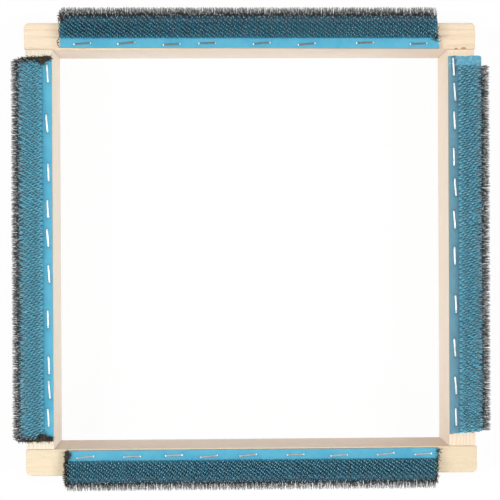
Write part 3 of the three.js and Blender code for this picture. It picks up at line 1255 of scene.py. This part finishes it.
@dataclass
class GripperStrip:
    """A gripper strip: its foundation over the bar, its wires and its ragged ends."""

    side: Side
    cut: StripCut
    finish: FoundationFinish
    wire_finish: WireFinish
    frays: tuple[Fray, ...] = ()
    threads: tuple[LooseThread, ...] = ()
    column: float = 1.23 * MM
    row: float = 2.76 * MM
    step: float = 0.92 * MM
    second_at: tuple[float, float] = (-0.12 * MM, -0.66 * MM)
    edge_gap: float = 0.41 * MM
    stagger: float = 0.0
    # How much painted glint the second prongs take; at 0 they are painted dark as shadows beside
    # the first.
    second_shine: float = 0.35
    wire_size: float = 1.0
    wire_girth: float = 1.0
    wire_lean: float = 1.0
    crowd_girth: float = 0.95
    grid_along: float = 1.25 * MM
    grid_over: float = 0.8 * MM
    crown_dent: float = 0.18 * MM
    leg_dent: float = 0.3 * MM
    full_dent: float = 0.3 * MM
    end_wander: float = 0.16 * MM
    wave: float = 0.05 * MM
    wave_lift: float = 0.1 * MM
    lower_margin: float = 5.0 * MM
    knocked_from: float = 18.0 * MM
    rim_from: float = 16.5 * MM
    rim_rows: tuple[float, ...] = (-1.0, 0.0, 1.0)
    # A painted shade band on the wires' glint near the bar's outer edge: its strength, middle and
    # reach.
    dusk: float = 0.3
    dusk_at: float = 19.5 * MM
    dusk_reach: float = 3.5 * MM
    # The painted glint at the strip's start, which rises to full at its end.
    shine_at_start: float = 1.0
    end_gap: float = 0.4 * MM
    matted_until: float = 17.0 * MM
    scatter: Scatter = Scatter()

    def __post_init__(self) -> None:
        """Reads the side's axes and lays the strip's line over the bar."""
        self.axes = SideAxes.of(self.side)
        self.line = WrapLine(self.cut.inset)
        self.rng = np.random.default_rng(40 + self.side.value)

    def build(
        self, wire: Pattern, staples: Sequence["StaplePlace"], tangle: Pattern
    ) -> list[bpy.types.Object]:
        """Builds and dresses the whole strip.

        Args:
            wire: The kneed wire.
            staples: The staples that press into the strip.
            tangle: The short bent wire of the ragged ends.

        Returns:
            The strip's pieces.
        """
        rubber = self._foundation(staples)
        Bench.fix(rubber, self.finish.make(), "gripper")
        steel = self.wire_finish.make()
        wires = self._wires(wire)
        Bench.fix(wires, steel, "gripper")
        pieces = [rubber, wires]
        for fray in self.frays:
            pieces += self._ragged_end(fray, tangle)
        pieces += [self._loose_thread(thread) for thread in self.threads]
        for piece in pieces:
            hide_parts(self.side.strip)
        return pieces

    def _foundation(self, staples: Sequence["StaplePlace"]) -> bpy.types.Object:
        """Makes the layered foundation, wrapped over the bar and pressed in by its staples.

        Args:
            staples: The staples that press into it.

        Returns:
            The foundation, with the attribute "lay".
        """
        columns = round(self.cut.length / self.grid_along)
        rows = round(self.line.length / self.grid_over)
        piece = Bench.grid(f"foundation_{self.side.label}", columns, rows)
        flat = Bench.points(piece)
        over = (flat[:, 1] + 0.5) * self.line.length
        share = flat[:, 0] + 0.5
        level = np.zeros(len(flat))
        wrapped = self._place(over, level, lambda start, end: start + share * (end - start))
        Bench.place(piece, wrapped)
        Bench.apply(
            piece, "SOLIDIFY", thickness=self.line.thickness, offset=0.0, use_even_offset=True
        )
        Bench.close_up(piece, 50)
        local = self.axes.from_frame(Bench.points(piece))
        over, above = self._read(local)
        share = (self.cut.end - local[:, 0]) / self.cut.length
        over = over + self.cut.trim_start * share * np.exp(-over / (3 * MM))
        top = above > 0
        dent = sum(self._dent(place, local) for place in staples)
        lift = self._waves(local[:, 0], over) - dent
        lift = np.where(top, lift, np.maximum(lift, 0.0))
        flat_place, _ = self.line.at(over, above + lift)
        local[:, 1:] = flat_place
        local[:, 0] += self._cut_edge(local[:, 0], over)
        Bench.place(piece, self.axes.to_frame(local))
        lay = np.stack([local[:, 0], over, above / self.line.thickness + 0.5], axis=1)
        Bench.mark(piece, "lay", lay)
        Bench.mark(piece, "dent", np.clip(dent / self.full_dent, 0.0, 1.0))
        return piece

    def _read(self, local: np.ndarray) -> tuple[np.ndarray, np.ndarray]:
        """Finds how far over the bar, and how high above the middle, points are.

        Args:
            local: Points in the side's axes.

        Returns:
            The distance over the bar and the height of each point.
        """
        samples = np.linspace(0.0, self.line.length, 700)
        middle, tangent = self.line.at(samples, 0.0)
        gap = local[:, None, 1:] - middle[None]
        nearest = np.argmin((gap**2).sum(-1), axis=1)
        off = gap[np.arange(len(local)), nearest]
        way = tangent[nearest]
        over = samples[nearest] + (off * way).sum(-1)
        above = off[:, 1] * way[:, 0] - off[:, 0] * way[:, 1]
        return np.clip(over, 0.0, self.line.length), above

    def _waves(self, along: np.ndarray, over: np.ndarray) -> np.ndarray:
        """The slight rise and fall of the foundation, most at its free inner edge.

        Args:
            along: Places along the side.
            over: Their distances over the bar.

        Returns:
            How far each place is lifted.
        """
        slow = np.sin(along * 95.0 + 1.3 * self.side.value) + np.sin(along * 211.0 + 2.0)
        free = np.exp(-over / (3.5 * MM))
        return (self.wave * slow + self.wave_lift) * (0.4 + free)

    def _dent(self, place: "StaplePlace", local: np.ndarray) -> np.ndarray:
        """How far a staple presses the foundation in.

        Args:
            place: The staple.
            local: Points in the side's axes.

        Returns:
            The depth of the dent at each point.
        """
        off = local - self.axes.from_frame(np.array([place.middle]))
        way = self.axes.basis @ place.way
        run = off @ way
        rest = np.linalg.norm(off - run[:, None] * way, axis=1)
        past = np.maximum(np.abs(run) - place.half, 0.0)
        pressed = self.crown_dent + self.leg_dent * bell(np.abs(run) - place.half, 1.1 * MM)
        return pressed * bell(np.hypot(past, rest), 1.5 * MM)

    def _cut_edge(self, along: np.ndarray, over: np.ndarray) -> np.ndarray:
        """The small wander of both cut ends, in metres along the side.

        Args:
            along: Places along the side.
            over: Their distances over the bar.

        Returns:
            How far each place is moved along the side.
        """
        middle = (self.cut.start + self.cut.end) / 2
        past_end = np.abs(along - middle) - self.cut.length / 2
        slow = np.sin(over * 430.0 + self.side.value)
        quick = np.sin(over * 1130.0 + (along > middle))
        return self.end_wander * (slow + 0.6 * quick) * np.exp(np.minimum(past_end, 0.0) / (2 * MM))

    def _lattice(self) -> tuple[np.ndarray, np.ndarray]:
        """The wires' feet, and how strong each tip's painted glint is.

        Columns run over the bar, each set back from the one before. A place on the field has
        two wires, and one past the bar's outer edge has a crowd of them.

        Returns:
            The feet, as rows of along and over, and the painted glint of each.
        """
        scatter = self.scatter
        first, last = self.cut.field_start - self.cut.inset, self.line.length - self.lower_margin
        columns = np.arange(math.ceil(self.cut.length / self.column) + 4)
        rows = np.arange(math.ceil((last - first) / self.row) + 2)
        i, j = np.meshgrid(columns, rows, indexing="ij")
        over = first + j * self.row - np.mod(i * self.step, self.row)
        odd = np.mod(i + j + i // 3, 2) - 0.5
        along = self.cut.start + (i - 1.5) * self.column + odd * self.stagger
        feet = np.column_stack([along.ravel(), over.ravel()])
        past = self._knocked(feet[:, 1]) > 0.5
        pairs = [feet[~past] + [part * step for step in self.second_at] for part in (0, 1)]
        crowd = [feet[past] + [sign * self.edge_gap, 0.0] for sign in self.rim_rows]
        feet = np.concatenate([*pairs, *crowd])
        paired = 2 * len(pairs[0])
        share = (feet[:, 0] - self.cut.start) / self.cut.length
        # Painted glint on each tip: rising along the strip, weaker or none on the second prongs,
        # which then stand as painted shadow, and dimmer at random.
        shine = self.shine_at_start + (1 - self.shine_at_start) * share
        shine[paired // 2 : paired] *= self.second_shine
        shine *= self.rng.uniform(scatter.dullest, 1.0, len(feet))
        # Painted shade band near the outer edge.
        shine *= 1 - self.dusk * bell(feet[:, 1] - self.dusk_at, self.dusk_reach)
        feet += self.rng.normal(0.0, scatter.foot, feet.shape)
        for axis, reach in ((1, scatter.crowd_over), (0, scatter.crowd_along)):
            pitch = (self.column, self.row)[axis]
            feet[paired:, axis] += self.rng.uniform(-reach, reach, len(feet) - paired) * pitch
        kept = self._kept(feet, first, last)
        return feet[kept], shine[kept]

    def _kept(self, feet: np.ndarray, first: float, last: float) -> np.ndarray:
        """Picks the feet that lie on the strip and not under a mat, less a few lost ones.

        Args:
            feet: All the feet, along and over.
            first: Where the field starts over the bar.
            last: Where it ends.

        Returns:
            Whether each foot is kept.
        """
        along, over = feet.T
        section, _ = self.line.at(over, 0.0)
        start, end = self.cut.ends(section)
        gap = self.end_gap
        kept = (over > first - gap) & (over < last)
        kept &= (along > start + gap + self.cut.bare_start) & (along < end - gap)
        kept &= self.rng.random(len(feet)) > self.scatter.lost
        for fray in (fray for fray in self.frays if fray.matted):
            inward = along - start if fray.at_start else end - along
            under = inward < self._fray_depth(fray, over) + 0.2 * MM
            kept &= ~(under & (over > fray.over[0]) & (over < self.matted_until))
        return kept

    def _knocked(self, over: np.ndarray) -> np.ndarray:
        """How far wires are knocked about, from 0 on the field to 1 past the bar's outer edge."""
        return np.clip((over - self.knocked_from) / (3 * MM), 0.0, 1.0)

    def _wires(self, wire: Pattern) -> bpy.types.Object:
        """Sets the field of wires.

        Args:
            wire: The kneed wire.

        Returns:
            All the strip's standing wires as one piece.
        """
        feet, shine = self._lattice()
        count = len(feet)
        scatter = self.scatter
        clump = lumps(*(feet.T * scatter.clumps), 3.1 * self.side.value)
        knocked = self._knocked(feet[:, 1])
        yaw = np.radians(self.rng.normal(0.0, scatter.yaw, count) + scatter.clump_yaw * clump)
        spread = scatter.sideways + scatter.knocked_sideways * knocked
        sideways = np.radians(self.rng.normal(0.0, spread) + scatter.clump_sideways * clump)
        forward = np.radians(self.rng.normal(0.0, scatter.forward, count))
        size = self.rng.normal(self.wire_size, scatter.size, count)
        x, y, z = (wire.points[None, :, axis] for axis in range(3))
        x = x * (self.wire_girth + (self.crowd_girth - self.wire_girth) * knocked[:, None])
        y = y * self.wire_lean
        up = z * size[:, None]
        lean = y * size[:, None] + up * np.tan(forward)[:, None]
        turned_x = x * np.cos(yaw)[:, None] + lean * np.sin(yaw)[:, None]
        turned_x = turned_x + up * np.tan(sideways)[:, None]
        turned_y = lean * np.cos(yaw)[:, None] - x * np.sin(yaw)[:, None]
        foot, tangent = self.line.at(feet[:, 1], self.line.face)
        tangent[:, 1] = np.minimum(tangent[:, 1], 0.0)
        tangent /= np.linalg.norm(tangent, axis=1, keepdims=True)
        normal = np.stack([-tangent[:, 1], tangent[:, 0]], axis=1)
        section = foot[:, None] + turned_y[..., None] * tangent[:, None]
        section = section + up[..., None] * normal[:, None]
        along = feet[:, 0, None] + turned_x
        local = np.concatenate([along[..., None], section], axis=-1)
        piece = wire.set_many(f"wires_{self.side.label}", self.axes.to_frame(local))
        rim = np.clip((feet[:, 1] - self.rim_from) / (6 * MM), 0.0, 1.0)
        Bench.mark(piece, "edge", np.repeat(rim, len(wire.points)))
        Bench.mark(piece, "shine", np.repeat(shine, len(wire.points)))
        return piece

    def _ragged_end(self, fray: Fray, tangle: Pattern) -> list[bpy.types.Object]:
        """Makes one ragged end: a lumpy mat and the loose wires in it.

        Args:
            fray: What the end looks like.
            tangle: The short bent wire.

        Returns:
            The end's pieces.
        """
        end_name = f"{self.side.label}_{fray.label}_{round(fray.over[1] / MM)}"
        finish = MatFinish(f"matted_wire_{end_name}").make()
        pieces = [self._loose_wires(fray, tangle, f"loose_wires_{end_name}")]
        if fray.matted:
            pieces.append(self._mat(fray, f"matted_end_{end_name}"))
        for piece in pieces:
            Bench.fix(piece, finish, "gripper")
        return pieces

    def _fray_depth(self, fray: Fray, over: np.ndarray) -> np.ndarray:
        """How far in from the strip's end the mat reaches, at distances over the bar.

        Args:
            fray: The ragged end.
            over: The distances.

        Returns:
            The reach at each.
        """
        hump = fray.hump * bell(over - fray.hump_at, fray.hump_reach)
        ragged = 1 + 0.5 * lumps(over * 420, 7.7, self.side.value)
        return np.maximum(fray.depth * ragged + hump, 0.4 * MM)

    def _place(
        self,
        over: np.ndarray,
        above: np.ndarray,
        along: Callable[[np.ndarray, np.ndarray], np.ndarray],
    ) -> np.ndarray:
        """Points of the frame for places on the strip.

        Args:
            over: How far over the bar each is.
            above: How high above the strip's middle each is.
            along: Gives their places along the side from the strip's start and end there.

        Returns:
            The points, one row each.
        """
        section, _ = self.line.at(over, above)
        return self.axes.to_frame(np.column_stack([along(*self.cut.ends(section)), section]))

    def _mat(self, fray: Fray, name: str) -> bpy.types.Object:
        """Makes the lumpy mat over a strip's end.

        Args:
            fray: The ragged end.
            name: The piece's name.

        Returns:
            The mat.
        """
        piece = Bench.grid(name, 22, round(fray.run / fray.mat_grid))
        Bench.apply(piece, "SOLIDIFY", thickness=0.2, offset=0.0)
        flat = Bench.points(piece)
        share = flat[:, 0] + 0.5
        run = np.clip(flat[:, 1] + 0.5, 0.0, 1.0)
        over = fray.over[0] + run * fray.run
        depth = self._fray_depth(fray, over)
        inward = -fray.past * 0.7 + share * (depth + fray.past * 0.7)
        crown = np.clip(1 - (2 * share - 1) ** 4, 0, 1) * np.clip(24 * run * (1 - run), 0, 1)
        spots = np.column_stack([over, inward, np.full(len(over), self.side.value)]) * 750
        lumpy = np.array([noise.fractal(Vector(spot), 0.8, 2.1, 4) for spot in spots])
        raised = np.sqrt(crown) * (fray.mat_height + fray.mat_lumps * lumpy)
        above = self.line.face + np.where(flat[:, 2] > 0, raised, -0.5 * MM)
        Bench.place(piece, self._place(over, above, fray.inward_by(inward)))
        Bench.close_up(piece, 70)
        return piece

    def _loose_wires(self, fray: Fray, tangle: Pattern, name: str) -> bpy.types.Object:
        """Scatters short bent wires over a strip's end.

        Args:
            fray: The ragged end.
            tangle: The short bent wire.
            name: The piece's name.

        Returns:
            The loose wires as one piece.
        """
        count = fray.wires
        over = self.rng.uniform(*fray.over, count)
        depth = self._fray_depth(fray, over)
        inward = self.rng.uniform(-fray.past, 1.0, count)
        inward = np.where(inward > 0, inward * (depth + 0.6 * MM), inward)
        beyond = inward <= -0.4 * MM
        above = self.line.face + self.rng.uniform(0.0, fray.standing, count) * ~beyond
        above -= self.rng.uniform(0.0, self.line.thickness, count) * beyond
        middle = self._place(over, above, fray.inward_by(inward))
        turns = self._random_turns(count)
        sizes = self.rng.uniform(0.6, 1.25, count)
        places = np.einsum("vc,ncd->nvd", tangle.points, turns) * sizes[:, None, None]
        places[..., 2] = np.where(places[..., 2] < 0, places[..., 2] * 0.3, places[..., 2])
        return tangle.set_many(name, places + middle[:, None])

    def _loose_thread(self, thread: LooseThread) -> bpy.types.Object:
        """Makes one loose thread along a cut end, with a few loops in it.

        Args:
            thread: How the thread runs.

        Returns:
            The dressed thread.
        """
        name = f"loose_thread_{self.side.label}_{thread.label}"
        piece = Bench.grid(name, 5, round(thread.run / (0.12 * MM)))
        flat = Bench.points(piece)
        share = flat[:, 1] + 0.5
        place, way = thread.line(share)
        round_it = flat[:, 0] * math.tau
        side = thread.radius * np.cos(round_it)
        over = place[:, 0] - way[:, 1] * side
        inward = place[:, 1] + way[:, 0] * side
        above = self.line.face + thread.radius * (0.6 + np.sin(round_it))
        above += thread.rise * (1 + np.sin(share * thread.run / thread.pitch * math.tau))
        Bench.place(piece, self._place(over, above, thread.inward_by(inward)))
        Bench.merge(piece, 0.001 * MM)
        bpy.ops.mesh.fill_holes(sides=0)
        Bench.close_up(piece, 70)
        brown = MatFinish(f"{piece.name}_cotton", (0.07, 0.05, 0.025), (0.36, 0.27, 0.15))
        Bench.fix(piece, brown.make(), "gripper")
        return piece

    def _random_turns(self, count: int) -> np.ndarray:
        """Turns in every direction, as matrices.

        Args:
            count: How many.

        Returns:
            The turns.
        """
        turns, _ = np.linalg.qr(self.rng.normal(size=(count, 3, 3)))
        turns[:, :, 0] *= np.sign(np.linalg.det(turns))[:, None]
        return turns


@dataclass
class TangleWire:
    """A short broken wire with two bends."""

    radius: float = 0.17 * MM
    length: float = 1.5 * MM

    def pattern(self) -> Pattern:
        """Models the bent wire about its middle.

        Returns:
            The pattern.
        """
        Bench.clear()
        bpy.ops.mesh.primitive_cylinder_add(vertices=4, radius=self.radius, depth=self.length)
        wire = bpy.context.object
        Bench.edit(wire)
        for sign in (1, -1):
            Bench.pick_faces(lambda middle, normal: normal.z * sign > 0.9)
            Bench.extrude((0.25 * self.length, 0.5 * self.length * sign, 0.35 * self.length * sign))
            Bench.extrude((-0.4 * self.length * sign, 0.1 * self.length, 0.4 * self.length * sign))
            bpy.ops.transform.resize(value=(0.6, 0.6, 0.6))
            bpy.ops.mesh.select_all(action="DESELECT")
        Bench.close_up(wire, 60)
        full = 1.6 * self.length
        return Pattern.of(wire, lambda points: np.clip(points[:, 2] / full + 0.5, 0, 1))


# Staples


@dataclass(frozen=True)
class StaplePlace:
    """Where a staple's crown lies: its middle, its direction, and the way down its legs."""

    name: str
    middle: np.ndarray
    way: np.ndarray
    down: np.ndarray
    half: float
    bow: float = 0.0
    node: str | None = None


@dataclass
class StapleSet:
    """All the staples: the rows that the nodes place, and the rows low on the outer faces."""

    crown: float = 12.7 * MM
    width: float = 1.2 * MM
    thickness: float = 0.6 * MM
    leg: float = 10.0 * MM
    corner: float = 0.9 * MM
    sink: float = 0.45 * MM
    bow: float = 0.14 * MM
    outer_count: int = 8
    outer_margin: float = 2.6 * MM
    outer_scatter: float = 2.5 * MM
    outer_tilt: float = 3.0
    eased: float = 0.24 * MM
    seed: int = 11

    def top_row(self, side: Side) -> list[StaplePlace]:
        """Reads a side's staples from their nodes.

        Args:
            side: The side of the frame.

        Returns:
            The staples' places.
        """
        names = sorted(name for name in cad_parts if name.startswith(f"staple_{side.label}_"))
        places = []
        for index, name in enumerate(names):
            points = Bench.points(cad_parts[name])
            top = points[points[:, 2] > points[:, 2].max() - 0.1 * self.thickness]
            middle = top.mean(axis=0)
            spread = np.linalg.eigh(np.cov((top - middle).T))[1][:, -1]
            places.append(
                StaplePlace(
                    name=name.replace("staple", "staple_wire"),
                    middle=middle - [0.0, 0.0, self.sink],
                    way=spread * np.sign(spread @ SideAxes.of(side).basis[0]),
                    down=np.array([0.0, 0.0, -1.0]),
                    half=self.crown / 2,
                    bow=self.bow * math.sin(2.9 * index + side.value),
                    node=name,
                )
            )
        return places

    def outer_row(self, strip: GripperStrip) -> list[StaplePlace]:
        """Spaces a row of staples along a strip's lower margin, on the bar's outer face.

        Args:
            strip: The strip that the row holds.

        Returns:
            The staples' places.
        """
        rng = np.random.default_rng(self.seed + strip.side.value)
        line = strip.line
        over = np.array([line.length - self.outer_margin])
        section, _ = line.at(over, line.face + self.thickness * 0.7)
        start, end = (float(x[0]) for x in strip.cut.ends(section))
        places = []
        for index in range(self.outer_count):
            share = (index + 0.5) / self.outer_count
            along = start + share * (end - start) + rng.normal(0.0, self.outer_scatter)
            tilt = math.radians(rng.normal(0.0, self.outer_tilt))
            local = np.array([along, section[0, 0], section[0, 1]])
            way = np.array([math.cos(tilt), 0.0, math.sin(tilt)])
            places.append(
                StaplePlace(
                    name=f"staple_outer_{strip.side.label}_{index + 1:02d}",
                    middle=strip.axes.to_frame(local),
                    way=way @ strip.axes.basis,
                    down=-strip.axes.basis[1],
                    half=self.crown / 2,
                )
            )
        return places

    def pattern(self) -> bpy.types.Object:
        """Models one staple, its crown along +X at height 0 and its legs down.

        Returns:
            The staple.
        """
        Bench.clear()
        half = self.crown / 2 - self.thickness / 2
        bpy.ops.mesh.primitive_plane_add(size=1.0, location=(-half, 0.0, -self.leg))
        staple = bpy.context.object
        staple.scale = (self.thickness, self.width, 1.0)
        bpy.ops.object.transform_apply()
        Bench.edit(staple, whole=True)
        radius = self.corner - self.thickness / 2
        Bench.extrude((0, 0, self.leg - self.thickness / 2 - radius))
        self._round_corner(radius, (-half + radius, 0.0, -self.thickness / 2 - radius))
        for _ in range(4):
            Bench.extrude(((half - radius) / 2, 0, 0))
        self._round_corner(radius, (half - radius, 0.0, -self.thickness / 2 - radius))
        Bench.extrude((0, 0, self.thickness / 2 + radius - self.leg))
        Bench.merge(staple, 0.01 * MM)
        Bench.close_up(staple, 60)
        Bench.apply(staple, "BEVEL", width=self.eased, segments=3, limit_method="ANGLE")
        Bench.close_up(staple, 60)
        return staple

    @staticmethod
    def _round_corner(radius: float, centre: tuple[float, float, float]) -> None:
        """Carries the selected end face round a quarter turn, which spin measures backwards."""
        bpy.ops.mesh.spin(steps=4, angle=-math.pi / 2, center=centre, axis=(0, 1, 0))

    def build(
        self, places: Sequence[StaplePlace], finish: bpy.types.Material
    ) -> list[bpy.types.Object]:
        """Sets a staple at every place.

        Args:
            places: Where the staples lie.
            finish: Their material.

        Returns:
            The staples.
        """
        master = self.pattern()
        points = Bench.points(master)
        pieces = []
        for place in places:
            piece = master.copy()
            piece.data = master.data.copy()
            piece.name = piece.data.name = place.name
            bpy.context.scene.collection.objects.link(piece)
            bowed = points.copy()
            bend = (points[:, 0] / (self.crown / 2)) ** 2 - 0.5
            bowed[:, 1] += place.bow * bend
            across = np.cross(place.way, place.down)
            turn = np.stack([place.way, -across, -place.down])
            turn[1] = np.cross(turn[2], turn[0])
            Bench.place(piece, bowed @ turn + place.middle)
            Bench.mark(piece, "lay", points)
            Bench.fix(piece, finish, "staple_steel")
            if place.node is not None:
                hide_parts(place.node)
            pieces.append(piece)
        bpy.data.objects.remove(master)
        return pieces


# The whole frame


@dataclass
class TimberFrame:
    """The four bars and the dowels in their joints, dressed where the nodes stand."""

    def build(self) -> list[bpy.types.Object]:
        """Dresses the bars and the dowels.

        Returns:
            The dressed nodes.
        """
        red = (0.36, 0.13, 0.05)
        stains = (
            Stain((0.1462, 0.1415, 0.038), mm(1.6, 0.8, 1.5), red),
            Stain((0.1515, 0.1418, 0.038), mm(2.4, 0.9, 1.5), red),
        )
        # Each board's side tint is painted light and shade on its side faces.
        boards = (
            PineFinish(
                "top_rail",
                (0.132, 0.075),
                side=(1.05, 1.13, 1.31),
                blush=0.1,
                shift=0.4,
                stains=stains,
            ),
            PineFinish(
                "bottom_rail",
                (-0.19, -0.03),
                ring=3.1 * MM,
                pale=(0.916, 0.782, 0.567),
                side=(0.90, 0.89, 1.04),
                rings=0.25,
                blush=0.16,
                shift=1.7,
            ),
            PineFinish(
                "left_stile",
                (-0.175, 0.06),
                ring=1.9 * MM,
                pale=(1.0, 0.915, 0.75),
                side=(0.93, 0.935, 1.01),
                rings=0.6,
                shift=2.9,
            ),
            PineFinish(
                "right_stile",
                (0.12, 0.07),
                ring=1.7 * MM,
                pale=(0.965, 0.805, 0.63),
                side=(0.97, 1.02, 1.12),
                rings=0.7,
                shift=4.3,
            ),
        )
        pieces = [self._dress(board.bar, board.make()) for board in boards]
        beech = DowelFinish().make()
        dowels = [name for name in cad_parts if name.startswith("dowel_")]
        return pieces + [self._dress(name, beech) for name in dowels]

    @staticmethod
    def _dress(name: str, finish: bpy.types.Material) -> bpy.types.Object:
        """Gives a node its material.

        Args:
            name: The node.
            finish: The material.

        Returns:
            The node's object.
        """
        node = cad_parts[name]
        node.data.materials.clear()
        node.data.materials.append(finish)
        return node


@dataclass(frozen=True)
class Lamp:
    """A soft oblong lamp: its bearing and height in degrees, its power and its size."""

    name: str
    bearing: float
    height: float
    power: float
    size: tuple[float, float]

    def hang(self, reach: float) -> None:
        """Hangs the lamp at a distance from the frame, facing it.

        Args:
            reach: The distance.
        """
        data = bpy.data.lights.new(self.name, "AREA")
        data.energy = self.power
        data.shape = "RECTANGLE"
        data.size, data.size_y = self.size
        lamp = bpy.data.objects.new(self.name, data)
        a, e = math.radians(self.bearing), math.radians(self.height)
        way = Vector((math.sin(a) * math.cos(e), math.cos(a) * math.cos(e), math.sin(e)))
        lamp.location = way * reach
        lamp.rotation_euler = way.to_track_quat("Z", "Y").to_euler()
        bpy.context.scene.collection.objects.link(lamp)


@dataclass
class Studio:
    """The white floor, the soft lamps and the camera above the frame."""

    floor_size: float = 60.0
    reach: float = 3.2
    camera_place: tuple[float, float, float] = (-0.0179, 0.0010, 0.83524)
    camera_turn: tuple[float, float, float] = (-0.133, -1.209, -0.274)
    lens: float = 81.04
    sensor: float = 36.0
    ambient: float = 0.345
    lamps: tuple[Lamp, ...] = (
        Lamp("lamp_left", -90, 46, 43.0, (0.3, 1.2)),
        Lamp("lamp_right", 90, 46, 39.0, (0.3, 1.2)),
        Lamp("lamp_near", 180, 42, 20.0, (2.6, 1.8)),
        Lamp("lamp_far", 0, 50, 9.0, (2.6, 1.8)),
    )

    def build(self) -> None:
        """Sets the floor, the lamps, the world and the camera."""
        self._floor()
        for lamp in self.lamps:
            lamp.hang(self.reach)
        self._world()
        self._camera()

    def _floor(self) -> None:
        """Lays the floor just under the frame."""
        Bench.clear()
        bpy.ops.mesh.primitive_plane_add(size=self.floor_size)
        floor = bpy.context.object
        floor.name = "floor"
        floor.data.materials.append(FloorFinish().make())

    def _world(self) -> None:
        """Gives the world its even light, with white behind whatever is seen in it."""
        recipe = Recipe(bpy.data.worlds.new("studio"))
        seen = FloorFinish.seen(recipe)
        strength = self.ambient + seen * (1 - self.ambient)
        light = {"Color": (1.0, 1.0, 1.0, 1.0), "Strength": strength}
        bpy.context.scene.world = recipe.close(recipe.add("ShaderNodeBackground", {}, light))

    def _camera(self) -> None:
        """Sets the camera where the photograph was taken from."""
        data = bpy.data.cameras.new("camera")
        data.lens = self.lens
        data.sensor_width = self.sensor
        camera = bpy.data.objects.new("camera", data)
        camera.location = self.camera_place
        camera.rotation_euler = [math.radians(angle) for angle in self.camera_turn]
        bpy.context.scene.collection.objects.link(camera)
        bpy.context.scene.camera = camera
        bpy.context.scene.view_settings.view_transform = "Standard"


def strips() -> list[GripperStrip]:
    """The four gripper strips as they were cut.

    Returns:
        The strips, in the order that they are built.
    """
    # Painted light for the side strips: a lighter, bluer painted shade and a bright painted glint
    # along the whole leaning part of each wire.
    lit = {
        "shaft": (0.14, 0.14, 0.138),
        "shade": (0.03, 0.145, 0.255),
        "painted_field_glint": (0.58, 1.0, 1.0),
        "painted_light_from": 0.52,
    }
    # On the stiles the second prongs take no painted glint and stand as painted shadows beside the
    # first.
    on_stiles = {
        "stagger": -0.45 * MM,
        "second_at": mm(0.65, 0.81),
        "second_shine": 0.0,
        "wire_lean": 1.3,
    }
    return [
        GripperStrip(
            Side.TOP,
            StripCut(*mm(-134.1, 133.4, 0.3, 7.5), end_skew=-0.08, trim_start=0.9 * MM),
            # The top strip's field rubber is darkened with painted shade.
            FoundationFinish("foundation_top", painted_field_shade=0.42, outer_shade=0.6),
            WireFinish("wire_top"),
            (
                Fray(True, mm(19, 23), 1.5 * MM, past=0.3 * MM, wires=50),
                Fray(False, mm(4.5, 10), 3.5 * MM, past=0.1 * MM, wires=22, matted=False),
            ),
            (LooseThread(True, mm(0.6, 26)),),
            # The top strip's painted glint is weaker on its second prongs and towards its start.
            second_shine=0.2,
            dusk=0.15,
            wire_girth=1.12,
            shine_at_start=0.65,
        ),
        GripperStrip(
            Side.LEFT,
            StripCut(*mm(-134.3, 135.4, 0.2, 6.5), end_skew=-0.08),
            FoundationFinish(
                # lift: painted light on the field's rubber.
                "foundation_left", lift=0.85, outer_shade=0.4, dent_shade=0.25, field_start=6.5 * MM
            ),
            WireFinish("wire_left", **lit),
            (
                Fray(False, mm(0.3, 34), *mm(1.6, 6.0, 3.6, 0.9)),
                Fray(True, mm(0.3, 34), *mm(1.6, 7, 3.0, 0.9)),
            ),
            wire_size=0.885,
            **on_stiles,
        ),
        GripperStrip(
            Side.BOTTOM,
            StripCut(*mm(-132.1, 131.7, 0.8, 7.8), start_skew=0.08),
            # The bottom strip's field rubber is darkened with painted shade.
            FoundationFinish("foundation_bottom", painted_field_shade=0.46, outer_shade=0.65),
            WireFinish("wire_bottom"),
            (
                Fray(False, mm(0.2, 32), *mm(0.8, 3, 2.4, 0.7), 300),
                Fray(True, mm(0.5, 2.5), 0.3 * MM, past=0.4 * MM, wires=7, matted=False),
                Fray(True, mm(2, 19), 0.1 * MM, past=0.2 * MM, wires=50, matted=False),
                Fray(True, mm(19, 30), 0.5 * MM, wires=70, matted=False),
                Fray(True, mm(18, 19.5), 0.1 * MM, past=2.6 * MM, wires=6, matted=False),
            ),
            rim_rows=(-0.75, 0.75),
            # A strong painted shade band near the outer edge.
            dusk=0.55,
            wire_girth=1.05,
            wire_size=0.99,
        ),
        GripperStrip(
            Side.RIGHT,
            StripCut(*mm(-135.8, 132, 0.2, 6.5), end_skew=-0.1, bare_start=6.7 * MM),
            FoundationFinish(
                "foundation_right",
                dusty=0.56,
                # lift: painted light on the field's rubber.
                lift=0.85,
                dent_shade=0.35,
                # Painted shade round the first, deeply sunk staple.
                smudge=mm(-130.6, 3.9, 9.0, 2.5),
                outer_shade=0.4,
                field_start=6.5 * MM,
                bare_until=-129 * MM,
            ),
            WireFinish("wire_right", **lit),
            wire_size=0.96,
            **on_stiles,
        ),
    ]


def report(pieces: Sequence[bpy.types.Object]) -> None:
    """Logs the name and the size of each piece."""
    for piece in pieces:
        log.info("%s: %d faces", piece.name, len(piece.data.polygons))


def main() -> None:
    """Builds the scene."""
    logging.basicConfig(level=logging.INFO, format="%(message)s")
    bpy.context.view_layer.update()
    report(TimberFrame().build())
    staples = StapleSet()
    wire = GripperWire().pattern()
    tangle = TangleWire().pattern()
    # Painted reflection per side: the stiles' staples bright as though catching the side lamps, the
    # top rail's dark, the bottom rail's between.
    painted_staple_light = {Side.TOP: 0.19, Side.LEFT: 0.8, Side.BOTTOM: 0.42, Side.RIGHT: 0.8}
    for strip in strips():
        places = [*staples.top_row(strip.side), *staples.outer_row(strip)]
        zinc = StapleFinish(f"staple_zinc_{strip.side.label}", (painted_staple_light[strip.side],) * 3)
        report(strip.build(wire, places, tangle))
        report(staples.build(places, zinc.make()))
    Studio().build()


if __name__ == "__main__":
    main()
